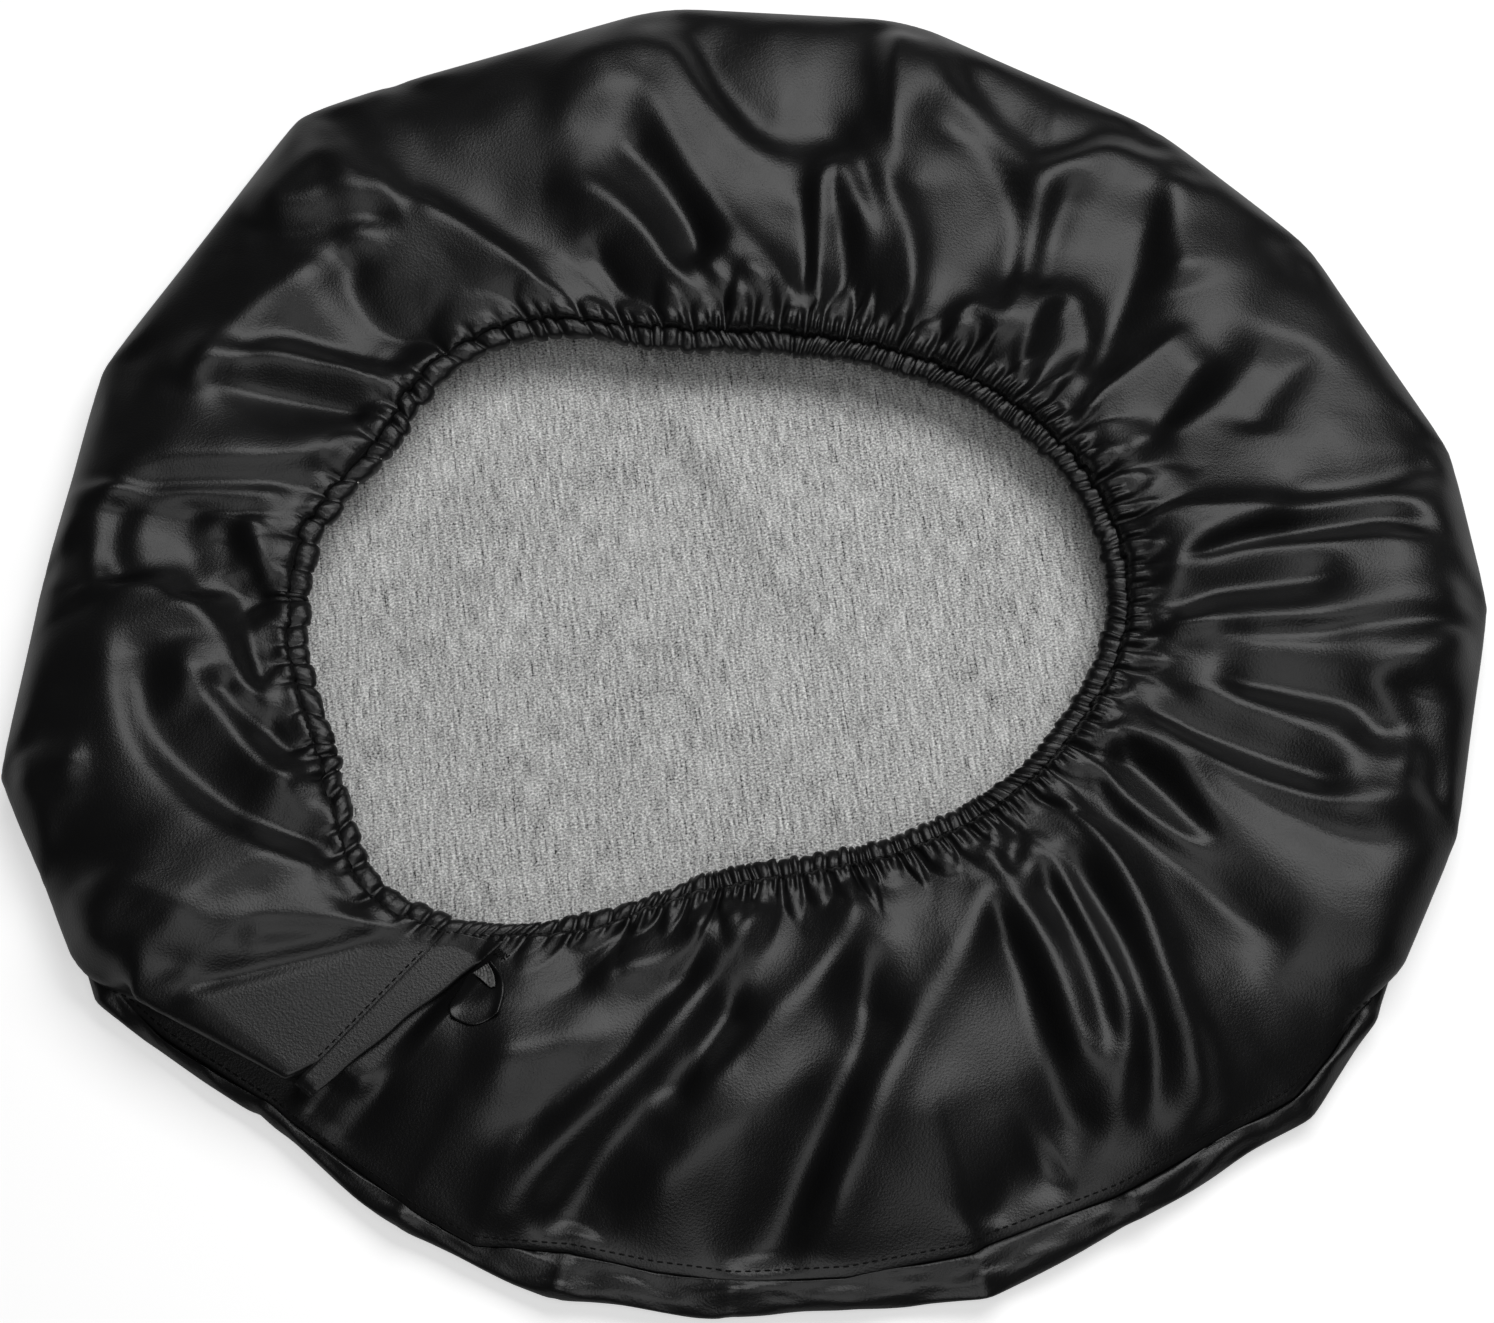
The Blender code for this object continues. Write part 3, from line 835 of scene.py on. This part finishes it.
def tube_faces(columns, sides, closed=True):
    """Quads of a tube whose points are numbered ring by ring."""
    last = columns if closed else columns - 1
    i = np.arange(last)[:, None]
    k = np.arange(sides)[None, :]
    n = (k + 1) % sides
    here, after = i * sides, ((i + 1) % columns) * sides
    return np.stack([here + k, here + n, after + n, after + k], -1).reshape(-1, 4)


def make_mesh(name, points, faces, material):
    """A smooth-shaded object from points in millimetres."""
    mesh = bpy.data.meshes.new(name)
    corners = [list(map(int, face)) for face in faces]
    mesh.from_pydata((np.asarray(points).reshape(-1, 3) * MM).tolist(), [], corners)
    mesh.shade_smooth()
    mesh.materials.append(material)
    piece = bpy.data.objects.new(name, mesh)
    bpy.context.scene.collection.objects.link(piece)
    return piece


def thicken(piece, depth):
    """Gives a sheet its real thickness below its outer side, and applies it."""
    shell = piece.modifiers.new("thickness", "SOLIDIFY")
    shell.thickness = depth * MM
    shell.offset = -1.0
    shell.use_even_offset = False
    graph = bpy.context.evaluated_depsgraph_get()
    solid = bpy.data.meshes.new_from_object(piece.evaluated_get(graph))
    piece.modifiers.clear()
    piece.data = solid
    return piece


def grid_normals(points, closed=True):
    """Unit normals of a grid of points, columns round and rows across."""
    if closed:
        round_cover = shift_round(points, -1) - shift_round(points, 1)
    else:
        round_cover = np.gradient(points, axis=0)
    across = np.gradient(points, axis=1)
    normal = np.cross(round_cover, across)
    return normal / np.maximum(np.linalg.norm(normal, axis=-1), 1e-9)[..., None]


def lowest_near(height, reach):
    """The lowest height within reach columns and rows of each point of the band."""
    low = height.copy()
    for step in range(-reach, reach + 1):
        low = np.minimum(low, shift_round(height, step))
    result = low.copy()
    for step in range(1, reach // 2 + 1):
        result[:, step:] = np.minimum(result[:, step:], low[:, :-step])
        result[:, :-step] = np.minimum(result[:, :-step], low[:, step:])
    return result


def surface_below(points, faces):
    """A function giving the height and normal of a surface under a plan position."""
    tree = BVHTree.FromPolygons(points.reshape(-1, 3).tolist(), faces.tolist())

    def look_down(x, y):
        place, normal, _, _ = tree.ray_cast(Vector((x, y, 200.0)), Vector((0, 0, -1)))
        if place is None:
            return HEM_TOP, Vector((0, 0, 1))
        return place.z, normal if normal.z > 0 else -normal

    return look_down


def stitch_row(name, path, up, pitch=STITCH_PITCH):
    """Separate stitches along a path, each a short thread that dips in at both ends."""
    run = run_lengths(path)
    starts = np.arange(0.0, run[-1] - STITCH_LENGTH, pitch)
    sides = STITCH_SIDES
    rings = []
    for share, lift, fat in STITCH_RINGS:
        at = starts + share * STITCH_LENGTH
        centre = np.stack([np.interp(at, run, path[:, k]) for k in range(3)], axis=-1)
        ahead = np.stack([np.interp(at + 0.5, run, path[:, k]) for k in range(3)], axis=-1)
        normal = np.stack([np.interp(at, run, up[:, k]) for k in range(3)], axis=-1)
        side = np.cross(ahead - centre, normal)
        side /= np.maximum(np.linalg.norm(side, axis=1), 1e-9)[:, None]
        for k in range(sides):
            a = 2.0 * math.pi * k / sides
            out = side * math.cos(a) + normal * math.sin(a)
            rings.append(centre + normal * lift + out * STITCH_RADIUS * fat)
    points = np.stack(rings, axis=1)
    size = len(STITCH_RINGS) * sides
    block = tube_faces(len(STITCH_RINGS), sides, closed=False).tolist()
    block.append(list(range(sides)))
    block.append(list(range(size - 1, size - sides - 1, -1)))
    faces = [[corner + size * k for corner in face] for k in range(len(starts)) for face in block]
    return make_mesh(name, points, faces, THREAD)


def joined_up(path):
    """A path that runs round the cover, with its start repeated as its end."""
    return np.vstack([path, path[:1]])


# ---------------------------------------------------------------- materials


def add_node(tree, kind, inputs=None, **settings):
    """A shader node with its settings made, and its inputs given values or linked sockets."""
    made = tree.nodes.new(kind)
    for name, value in settings.items():
        setattr(made, name, value)
    for name, value in (inputs or {}).items():
        if isinstance(value, bpy.types.NodeSocket):
            tree.links.new(value, made.inputs[name])
        else:
            made.inputs[name].default_value = value
    return made


def calculate(tree, operation, first, second=0.0):
    return add_node(tree, "ShaderNodeMath", {0: first, 1: second}, operation=operation).outputs[0]


def new_material(name):
    """A material with nodes, its shader, and object coordinates in metres."""
    material = bpy.data.materials.new(name)
    material.use_nodes = True
    tree = material.node_tree
    place = add_node(tree, "ShaderNodeTexCoord").outputs["Object"]
    return material, tree, tree.nodes["Principled BSDF"], place


def noise(tree, place, scale, detail=2.0):
    made = add_node(tree, "ShaderNodeTexNoise", {"Vector": place, "Scale": scale, "Detail": detail})
    return made.outputs["Fac"]


def spread(tree, value, low, high, from_low=0.0, from_high=1.0):
    """Maps a value onto a range."""
    made = add_node(tree, "ShaderNodeMapRange", {
        "Value": value, "From Min": from_low, "From Max": from_high, "To Min": low, "To Max": high,
    })
    return made.outputs["Result"]


def add_bump(tree, shader, height, strength, distance):
    bump = add_node(tree, "ShaderNodeBump", {
        "Height": height, "Strength": strength, "Distance": distance,
    })
    tree.links.new(bump.outputs["Normal"], shader.inputs["Normal"])


def two_shades(tree, shader, share, dark, light):
    """A base colour that runs from dark to light as the share goes from 0 to 1."""
    ramp = add_node(tree, "ShaderNodeValToRGB", {"Fac": share})
    ramp.color_ramp.elements[0].color = (*dark, 1)
    ramp.color_ramp.elements[1].color = (*light, 1)
    tree.links.new(ramp.outputs["Color"], shader.inputs["Base Color"])


def vinyl_material():
    """Black vinyl with a fine pressed grain, a soft sheen and slightly uneven gloss."""
    material, tree, shader, place = new_material("black_vinyl")
    clouds = noise(tree, place, 35.0, 5.0)
    tree.links.new(spread(tree, clouds, 0.32, 0.39, 0.3, 0.7), shader.inputs["Roughness"])
    shader.inputs["IOR"].default_value = 1.47
    stains = noise(tree, place, 18.0, 4.0)
    two_shades(tree, shader, stains, (0.0022, 0.0022, 0.0024), (0.0045, 0.0045, 0.0049))
    cells = add_node(tree, "ShaderNodeTexVoronoi", {"Vector": place, "Scale": 850.0})
    grain = calculate(tree, "ADD", cells.outputs["Distance"], noise(tree, place, 1500.0))
    add_bump(tree, shader, grain, 0.65, 0.0001)
    return material


def knit_material(name, lightness):
    """Grey knit backing: a fine weave with slanted rows of dark dashes, pale streaks and specks."""
    material, tree, shader, place = new_material(name)
    shader.inputs["Roughness"].default_value = 0.95
    shader.inputs["Specular IOR Level"].default_value = 0.15
    turned = add_node(tree, "ShaderNodeMapping", {"Vector": place, "Rotation": (0, 0, math.radians(-8.0))})
    axes = add_node(tree, "ShaderNodeSeparateXYZ", {0: turned.outputs["Vector"]})
    x, y = axes.outputs["X"], axes.outputs["Y"]

    def stretched(wide, tall, detail=2.0):
        """Noise whose features are wide across the rows and tall along them, in metres."""
        vector = add_node(tree, "ShaderNodeCombineXYZ", {
            0: calculate(tree, "DIVIDE", x, wide), 1: calculate(tree, "DIVIDE", y, tall),
        })
        return noise(tree, vector.outputs[0], 1.0, detail)

    row = calculate(tree, "DIVIDE", x, 0.0041)
    cell = calculate(tree, "FLOOR", row)
    off_line = calculate(tree, "ABSOLUTE", calculate(tree, "SUBTRACT", calculate(tree, "FRACT", row), 0.5))
    on_line = calculate(tree, "LESS_THAN", off_line, 0.055)
    along = add_node(tree, "ShaderNodeCombineXYZ", {
        0: calculate(tree, "MULTIPLY", cell, 7.31), 1: calculate(tree, "DIVIDE", y, 0.008),
    })
    gate = spread(tree, noise(tree, along.outputs[0], 1.0), 0.0, 0.55, 0.50, 0.64)
    dashes = calculate(tree, "MULTIPLY", on_line, gate)

    weave = stretched(0.0012, 0.0010, 3.0)
    streaks = stretched(0.0016, 0.016)
    patches = stretched(0.05, 0.07)
    shade = calculate(tree, "ADD", spread(tree, weave, -0.75, 0.75, 0.3, 0.7), 1.0)
    shade = calculate(tree, "ADD", shade, spread(tree, streaks, -0.34, 0.36, 0.3, 0.7))
    shade = calculate(tree, "ADD", shade, spread(tree, patches, -0.07, 0.07, 0.3, 0.7))
    shade = calculate(tree, "SUBTRACT", shade, dashes)

    lint = add_node(tree, "ShaderNodeTexVoronoi", {"Vector": place, "Scale": 110.0})
    near = calculate(tree, "LESS_THAN", lint.outputs["Distance"], 0.05)
    pick = add_node(tree, "ShaderNodeSeparateColor", {0: lint.outputs["Color"]}).outputs[0]
    specks = calculate(tree, "MULTIPLY", near, calculate(tree, "GREATER_THAN", pick, 0.55))
    shade = calculate(tree, "ADD", shade, calculate(tree, "MULTIPLY", specks, 0.9))

    base = add_node(tree, "ShaderNodeCombineColor", {
        0: calculate(tree, "MULTIPLY", shade, lightness),
        1: calculate(tree, "MULTIPLY", shade, lightness),
        2: calculate(tree, "MULTIPLY", shade, 0.99 * lightness),
    })
    tree.links.new(base.outputs["Color"], shader.inputs["Base Color"])
    add_bump(tree, shader, calculate(tree, "SUBTRACT", weave, dashes), 0.5, 0.0002)
    return material


def thread_material():
    """Black twisted thread: bands of light and shade across it."""
    material, tree, shader, place = new_material("black_thread")
    shader.inputs["Roughness"].default_value = 0.7
    shader.inputs["Specular IOR Level"].default_value = 0.15
    twist = add_node(tree, "ShaderNodeTexWave", {"Vector": place, "Scale": 900.0, "Distortion": 3.0})
    two_shades(tree, shader, twist.outputs["Fac"], (0.002, 0.002, 0.002), (0.008, 0.008, 0.008))
    add_bump(tree, shader, twist.outputs["Fac"], 0.4, 0.0001)
    return material


def elastic_material():
    """White braided elastic: ribs along its length and a fine zigzag braid."""
    material, tree, shader, place = new_material("white_elastic")
    shader.inputs["Roughness"].default_value = 0.85
    braid = add_node(tree, "ShaderNodeTexVoronoi", {"Vector": place, "Scale": 1300.0})
    ribs = add_node(tree, "ShaderNodeTexWave", {"Vector": place, "Scale": 300.0, "Distortion": 1.5})
    weave = calculate(tree, "ADD", braid.outputs["Distance"], ribs.outputs["Fac"])
    share = spread(tree, weave, 0.0, 1.0, 0.0, 1.6)
    two_shades(tree, shader, share, (0.52, 0.51, 0.47), (0.80, 0.79, 0.75))
    add_bump(tree, shader, weave, 0.5, 0.0002)
    return material


VINYL = vinyl_material()
KNIT = knit_material("grey_knit", 0.55)
# The turned-up knit of the loose corner: the same grey knit painted much darker, as painted shade
SHADED_TAB_KNIT = knit_material("shaded_tab_knit", 0.12)
THREAD = thread_material()
ELASTIC = elastic_material()


# ---------------------------------------------------------------- pieces


def hand_over(piece, body=None, node=None):
    """Hides the CAD node that a piece stands for, and attaches the piece to the body it moves with.

    With no body, its placement is baked into its mesh.
    """
    if node:
        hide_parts(node)
    if body:
        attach(piece, body)
    else:
        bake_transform(piece)


def build_band(points):
    """The vinyl outer side of the band, and the knit inside it on a plainer grid."""
    skin = make_mesh("band_cloth", points, grid_faces(len(points), ROWS + 1), VINYL)
    thicken(skin, VINYL_THICKNESS)
    hand_over(skin, node="band_panel")

    picked = np.round(np.arange(KNIT_COLUMNS) / KNIT_COLUMNS * len(points)).astype(int)
    rows = np.round(np.linspace(1, ROWS - 1, KNIT_ROWS)).astype(int)
    normals = grid_normals(points)
    inside = points - normals * (VINYL_THICKNESS + 0.6)
    flat = smooth_step((normals[..., 2] - 0.5) / 0.3)
    inner = smooth_step((row_shares(ROWS) - 0.3) / 0.1)[None, :]
    inside[..., 2] += (lowest_near(inside[..., 2], 4) - inside[..., 2]) * np.maximum(flat, inner)
    inside = inside[picked][:, rows]
    knit = make_mesh("band_knit", inside, grid_faces(KNIT_COLUMNS, KNIT_ROWS), KNIT)
    thicken(knit, KNIT_THICKNESS)
    hand_over(knit, node="band_backing")


def face_curve(angle):
    """Outer side of the face from its flat part up to the seam, as (radius, height)."""
    seam = float(seam_inset(angle))
    shown = [
        (60, 0.0), (30, 0.3), (12, 1.2), (3, 4.0), (0, 8.0), (0.22 * seam, 11.2),
        (0.62 * seam, 13.2), (seam - 0.6, 13.7), (seam, 12.6),
    ]
    out = float(roll_out(angle))
    curve = catmull(np.array(shown) + (np.array(FACE_ROLLED) - np.array(shown)) * out, 4)
    return np.stack([float(radius_at(RIM, angle)) - curve[:, 0], curve[:, 1]], axis=-1)


def corner_crease(x, y):
    """1 on the line from the seam out to the tip of each corner of the outline, 0 away from it."""
    angle = np.degrees(np.arctan2(y, x))
    away = np.abs(wrap_degrees(angle[..., None] - CORNER_ANGLES)).min(axis=-1)
    return np.exp(-np.radians(away) * np.hypot(x, y) / 6.0)


def face_grid(offset):
    """Points of the face, offset inwards: rings over the flat part, then up round the rim."""
    angles, _ = even_angles(RIM, FACE_COLUMNS)
    columns = []
    for angle in angles:
        curve = face_curve(angle)
        slope = np.gradient(curve, axis=0)
        slope /= np.linalg.norm(slope, axis=1)[:, None]
        curve = curve + offset * np.stack([-slope[:, 1], slope[:, 0]], axis=-1)
        inner = np.linspace(0.0, 1.0, FACE_RINGS + 2)[1:-1] * curve[0, 0]
        radius = np.concatenate([inner, curve[:, 0]])
        height = np.concatenate([np.full(len(inner), curve[0, 1]), curve[:, 1]])
        turn = math.radians(angle)
        columns.append(np.stack([radius * math.cos(turn), radius * math.sin(turn), height], -1))
    points = np.array(columns)
    x, y, z = points[..., 0], points[..., 1], points[..., 2]
    outer = np.hypot(x, y) / radius_at(RIM, np.degrees(np.arctan2(y, x)))
    strip = smooth_step((outer - 0.93) / 0.04) * smooth_step((z - 3.0) / 4.0)
    strip[:, -3:] = 0.0
    away = np.hypot(x, y)
    turn = np.arctan2(y, x) * 340.0
    wrinkle = 0.7 * ripples(turn, away * 4.0, 60.0, 5) + 0.25 * ripples(turn, away * 4.0, 24.0, 6)
    points[..., 2] += (wrinkle + 3.0 * corner_crease(x, y)) * strip
    points[..., :2] *= (1.0 + 0.0015 * ripples(turn, z * 5.0, 80.0, 7) * strip)[..., None]
    return points


def disc_mesh(name, points, material):
    """A sheet of rings closed by a fan at its centre."""
    columns, rows = points.shape[:2]
    faces = grid_faces(columns, rows).tolist()
    centre = columns * rows
    for i in range(columns):
        faces.append([centre, ((i + 1) % columns) * rows, i * rows])
    middle = points[:, 0].mean(axis=0)
    everything = np.vstack([points.reshape(-1, 3), middle])
    return make_mesh(name, everything, faces, material)


def build_face():
    """The vinyl face, and its knit backing that shows through the mouth."""
    skin = disc_mesh("face_skin", face_grid(0.0), VINYL)
    thicken(skin, VINYL_THICKNESS)
    hand_over(skin, "face", "face_panel")

    inside = face_grid(VINYL_THICKNESS + 0.2)[:, :-5]
    x, y = inside[..., 0], inside[..., 1]
    flat = smooth_step((300.0 - np.hypot(x, y)) / 60.0)
    from_crease, share = distance_to_path(x, y, KNIT_CREASE)
    ends = smooth_step(share * 4.0) * smooth_step(4.0 - 4.0 * share)
    crease = KNIT_CREASE_HEIGHT * bell(from_crease / KNIT_CREASE_WIDTH) * ends
    inside[..., 2] += flat * (1.0 + 0.35 * ripples(x, y, 90.0, 8) + crease)
    knit = disc_mesh("face_knit", inside, KNIT)
    thicken(knit, KNIT_THICKNESS)
    hand_over(knit, "face", "face_backing")


def round_elastic(outward, upward):
    """Moves points of the casing's section out of an oval round the elastic inside it."""
    share = np.hypot((outward - ELASTIC_OFFSET) / ELASTIC_ROOM[0], upward / ELASTIC_ROOM[1])
    push = 1.0 / np.minimum(share, 1.0)
    return ELASTIC_OFFSET + (outward - ELASTIC_OFFSET) * push, upward * push


def casing_points():
    """The turned hem: a tube gathered into puffed ribs with sharp creases between them."""
    index, through = in_gather(GATHERS, COLUMN_SHARES)
    count = len(GATHERS)
    puff = RNG.uniform(0.55, 1.0, count)[index] * (1.0 + 0.5 * LOOSENESS)
    step_in = RNG.uniform(-0.8, 0.8, count)[index] * (1.0 + LOOSENESS)
    step_up = RNG.uniform(-0.7, 0.7, count)[index]
    calm = 1.0 - 0.75 * taut(COLUMN_ANGLES)
    walked = COLUMN_SHARES * 1300.0
    lean = 2.0 * ripples(walked, 0.0, 60.0, 11)
    crease = 1.0 - np.sqrt(1.0 - (2.0 * through - 1.0) ** 2)
    wide = CASING_HALF_WIDTH * (1.0 - 0.24 * puff * crease * calm)
    deep = CASING_HALF_DEPTH * (1.0 - 0.50 * puff * crease * calm)
    turn = np.radians(COLUMN_ANGLES)
    points = np.empty((len(turn), CASING_SIDES, 3))
    for k in range(CASING_SIDES):
        a = 2.0 * math.pi * k / CASING_SIDES
        wrinkle = 0.22 * ripples(walked, a * 5.0, 5.0, 12) * calm
        outward = step_in * calm + (wide + wrinkle) * math.cos(a)
        upward = step_up * calm + (deep + wrinkle) * math.sin(a)
        outward, upward = round_elastic(outward, upward)
        radius = radius_at(HEM, COLUMN_ANGLES) - CASING_WIDTH / 2.0 + outward
        along = lean * math.cos(a) * calm
        points[:, k, 0] = radius * np.cos(turn) - along * np.sin(turn)
        points[:, k, 1] = radius * np.sin(turn) + along * np.cos(turn)
        points[:, k, 2] = HEM_HEIGHT + upward
    return points


def build_casing(points):
    piece = make_mesh("hem_casing_cloth", points, tube_faces(len(points), CASING_SIDES), VINYL)
    hand_over(piece, "back", "hem_casing")


def build_rim_stitches(points):
    """The topstitch just above the rim seam, and the seam's own thread down in the groove."""
    run = np.cumsum(np.linalg.norm(np.diff(points, axis=1), axis=-1), axis=1)
    nearest = np.argmin(np.abs(run - TOPSTITCH_INSET), axis=1)
    row = int(round(float(np.median(nearest))))
    up = joined_up(grid_normals(points)[:, row])
    topstitch = stitch_row("rim_topstitches", joined_up(points[:, row]), up)
    hand_over(topstitch, node="rim_topstitch_thread")

    seam = joined_up(points[:, 0]) - SEAM_THREAD_DEPTH * UP
    hidden = stitch_row("rim_seam_stitches", seam, np.tile(UP, (len(seam), 1)))
    hand_over(hidden, "face", "rim_seam_thread")


def build_hem_stitches(points):
    """The row of stitches that closes the casing, down in the gathers beside it."""
    path = joined_up(points[:, -2])
    piece = stitch_row("hem_stitches", path, np.tile(UP, (len(path), 1)))
    hand_over(piece, "back", "hem_stitch_thread")


def lap_point(along, across):
    """Plan position of a point given along and across the lap."""
    turn = math.radians(LAP_HEADING)
    x = LAP_ROOT[0] + along * math.cos(turn) - across * math.sin(turn)
    y = LAP_ROOT[1] + along * math.sin(turn) + across * math.cos(turn)
    return x, y


def sheet_piece(name, point_at, along_steps, across_steps, material, depth):
    """A thin piece of cloth through point_at(along share, across share), outer side up."""
    points = np.array([
        [point_at(i / along_steps, j / across_steps) for j in range(across_steps + 1)]
        for i in range(along_steps + 1)
    ])
    faces = grid_faces(along_steps + 1, across_steps + 1, closed=False)
    if grid_normals(points, closed=False)[..., 2].mean() < 0:
        faces = faces[:, ::-1]
    return thicken(make_mesh(name, points, faces, material), depth)


def build_lap(look_down):
    """The loose edge of the band's upper end, with its knit under it."""

    def flap_place(along_share, across_share, margin, below):
        start = -15.0 - 13.0 * across_share + margin
        along = start + (LAP_END - margin - start) * along_share
        width = lap_width(along) + 0.35 * math.sin(along / 5.0) - margin
        across = margin - 0.8 + (width + 0.8 - margin) * across_share
        x, y = lap_point(along, across)
        height, _ = look_down(x, y)
        edge = 0.5 * smooth_step((across - width + 3.0) / 3.0)
        tip = 2.4 * smooth_step((along - LAP_END + 5.0) / 5.0)
        rise = 0.7 * smooth_step((across + 0.8) / 2.5) - 0.4
        height = max(height + rise, float(lap_plane(x, y)) + rise - edge - tip)
        return x, y, height - below

    def flap_top(along_share, across_share):
        return flap_place(along_share, across_share, 0.0, 0.0)

    def flap_under(along_share, across_share):
        return flap_place(along_share, across_share, 1.4, VINYL_THICKNESS + 0.05)

    flap = sheet_piece("lap_flap", flap_top, 90, 16, VINYL, VINYL_THICKNESS)
    hand_over(flap, "flap", "overlap_flap")
    backing = sheet_piece("lap_flap_knit", flap_under, 60, 12, KNIT, KNIT_THICKNESS)
    hand_over(backing, "flap", "overlap_flap_backing")


def build_lap_stitches(look_down):
    """The row of stitches that joins the band's two ends, at the root of the loose edge."""
    path = []
    up = []
    for along in np.linspace(-2.0, LAP_LENGTH, 60):
        x, y = lap_point(along, -0.9)
        height, normal = look_down(x, y)
        path.append((x, y, height))
        up.append(tuple(normal))
    stitches = stitch_row("lap_stitches", np.array(path), np.array(up))
    hand_over(stitches, "back", "lap_stitch_thread")


def build_under_lap(look_down):
    """The hidden part of the band's lower end, below the lap."""

    def under_place(along_share, across_share):
        x, y = lap_point(4.0 + 60.0 * along_share, -9.0 + 18.0 * across_share)
        height, _ = look_down(x, y)
        return x, y, height - 2.6

    under = sheet_piece("lap_under_end", under_place, 30, 8, VINYL, VINYL_THICKNESS)
    hand_over(under, "back", "under_lap")


def tab_place(along, across, look_down, lift):
    """A point on the loose corner of the lap's lower end."""
    left = catmull(np.array(TAB_LEFT), 8)
    right = catmull(np.array(TAB_RIGHT), 8)
    at = along * (len(left) - 1)
    a = np.array([np.interp(at, np.arange(len(left)), left[:, k]) for k in range(2)])
    b = np.array([np.interp(at, np.arange(len(right)), right[:, k]) for k in range(2)])
    x, y = a + (b - a) * across
    y -= 5.0 * math.sin(math.pi * across) * along ** 3
    height, _ = look_down(x, y)
    return x, y, height + lift


def build_tab(look_down):
    """The loose corner: vinyl with curled edges, and its ribbed knit turned up on top of it, that knit
    painted much darker as painted shade.
    """

    def corner(along, across):
        curl = 1.6 * bell((1.0 - across) / 0.12) + 0.9 * bell(across / 0.12) * along
        sway = 0.5 * math.sin(9.0 * along + 3.0 * across)
        return tab_place(along, across, look_down, 1.3 + curl + sway)

    piece = sheet_piece("lap_corner", corner, 36, 28, VINYL, VINYL_THICKNESS)
    hand_over(piece, "tab", "under_lap_tab")

    def turned_back(along, across):
        narrow = across + (1.0 - across) * 0.85 * along
        rib = 0.3 * math.sin(40.0 * (across * (1.0 - along) + along))
        lift = 2.6 + rib + 2.4 * across * (1.0 - along)
        return tab_place(0.06 + 0.46 * along, 0.26 + 0.58 * narrow, look_down, lift)

    # Painted shade: this knit is the grey knit painted much darker
    back = sheet_piece("lap_corner_knit", turned_back, 30, 40, SHADED_TAB_KNIT, KNIT_THICKNESS)
    hand_over(back, "tab")


def build_bar_tack(look_down):
    """Close stitches across the casing that hold the lap's ends together."""
    path = []
    for k in range(TACK_ROWS):
        angle = math.radians(TACK_ANGLE + TACK_STEP * k)
        for radius in TACK_RADII:
            x, y = radius * math.cos(angle), radius * math.sin(angle)
            height, _ = look_down(x, y)
            path.append((x, y, height + 0.1))
    path = np.array(path)
    up = np.tile(UP, (len(path), 1))
    piece = stitch_row("lap_tack_stitches", path, up, STITCH_LENGTH + 0.5)
    hand_over(piece, "back", "lap_bar_tack")


def paint_cad_nodes():
    """Materials for the CAD's nodes; those that stay are the elastic and its thread."""
    for name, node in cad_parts.items():
        node.data.materials.clear()
        elastic = name in ("elastic_band", "elastic_lap_end")
        node.data.materials.append(ELASTIC if elastic else THREAD)


# ---------------------------------------------------------------- stage


def softbox(name, direction, distance, size, radiance):
    """A soft rectangular light that shines on the cover from a direction."""
    place = Vector(direction).normalized() * distance
    data = bpy.data.lights.new(name, "AREA")
    data.shape = "RECTANGLE"
    data.size, data.size_y = size
    data.energy = radiance * math.pi * size[0] * size[1]
    made = bpy.data.objects.new(name, data)
    made.location = place
    made.rotation_euler = (-place).to_track_quat("-Z", "Y").to_euler()
    bpy.context.scene.collection.objects.link(made)


def build_floor():
    """A plain white floor that is a little brighter than the light on it, like a lit table."""
    bpy.ops.mesh.primitive_plane_add(size=12.0, location=(0, 0, -0.0006))
    floor = bpy.context.object
    floor.name = "floor"
    material, tree, shader, place = new_material("floor")
    shader.inputs["Roughness"].default_value = 0.9
    shader.inputs["Emission Color"].default_value = (1, 1, 1, 1)
    seen = add_node(tree, "ShaderNodeLightPath").outputs["Is Camera Ray"]
    tree.links.new(spread(tree, seen, 0.1, 0.5), shader.inputs["Emission Strength"])
    tree.links.new(spread(tree, seen, 0.6, 0.9), shader.inputs["Base Color"])
    floor.data.materials.append(material)


def build_lights():
    """A dim white room, a key light from behind the cover and a wider fill from the near side."""
    world = bpy.data.worlds.new("studio")
    world.use_nodes = True
    room = world.node_tree.nodes["Background"]
    room.inputs["Color"].default_value = (1, 1, 1, 1)
    room.inputs["Strength"].default_value = 0.04
    bpy.context.scene.world = world
    softbox("key", (0.24, 0.40, 0.89), 1.6, (1.4, 1.0), 3.5)
    softbox("fill", (0.05, -0.50, 0.87), 2.3, (1.6, 1.7), 1.4)


def build_camera():
    """A long lens that looks steeply down from the near side."""
    elevation = math.radians(CAMERA_ELEVATION)
    distance = 1.7
    target = Vector((-0.0045, -0.028, 0.02))
    camera = bpy.data.cameras.new("camera")
    camera.sensor_width = 36.0
    camera.lens = 87.195
    holder = bpy.data.objects.new("camera", camera)
    holder.location = target + Vector((0, -math.cos(elevation), math.sin(elevation))) * distance
    holder.rotation_euler = (math.pi / 2.0 - elevation, 0, 0)
    bpy.context.scene.collection.objects.link(holder)
    bpy.context.scene.camera = holder
    bpy.context.scene.view_settings.view_transform = "Standard"


def main():
    paint_cad_nodes()
    casing = casing_points()
    band = simulate_band(casing[:, CASING_SEWN_SIDE] + SEWN_RISE * UP)
    build_face()
    build_band(band)
    build_casing(casing)
    build_rim_stitches(band)
    build_hem_stitches(band)
    look_down = surface_below(band, grid_faces(len(band), ROWS + 1))
    build_lap(look_down)
    build_lap_stitches(look_down)
    build_under_lap(look_down)
    build_tab(look_down)
    build_bar_tack(look_down)
    build_floor()
    build_lights()
    build_camera()


main()
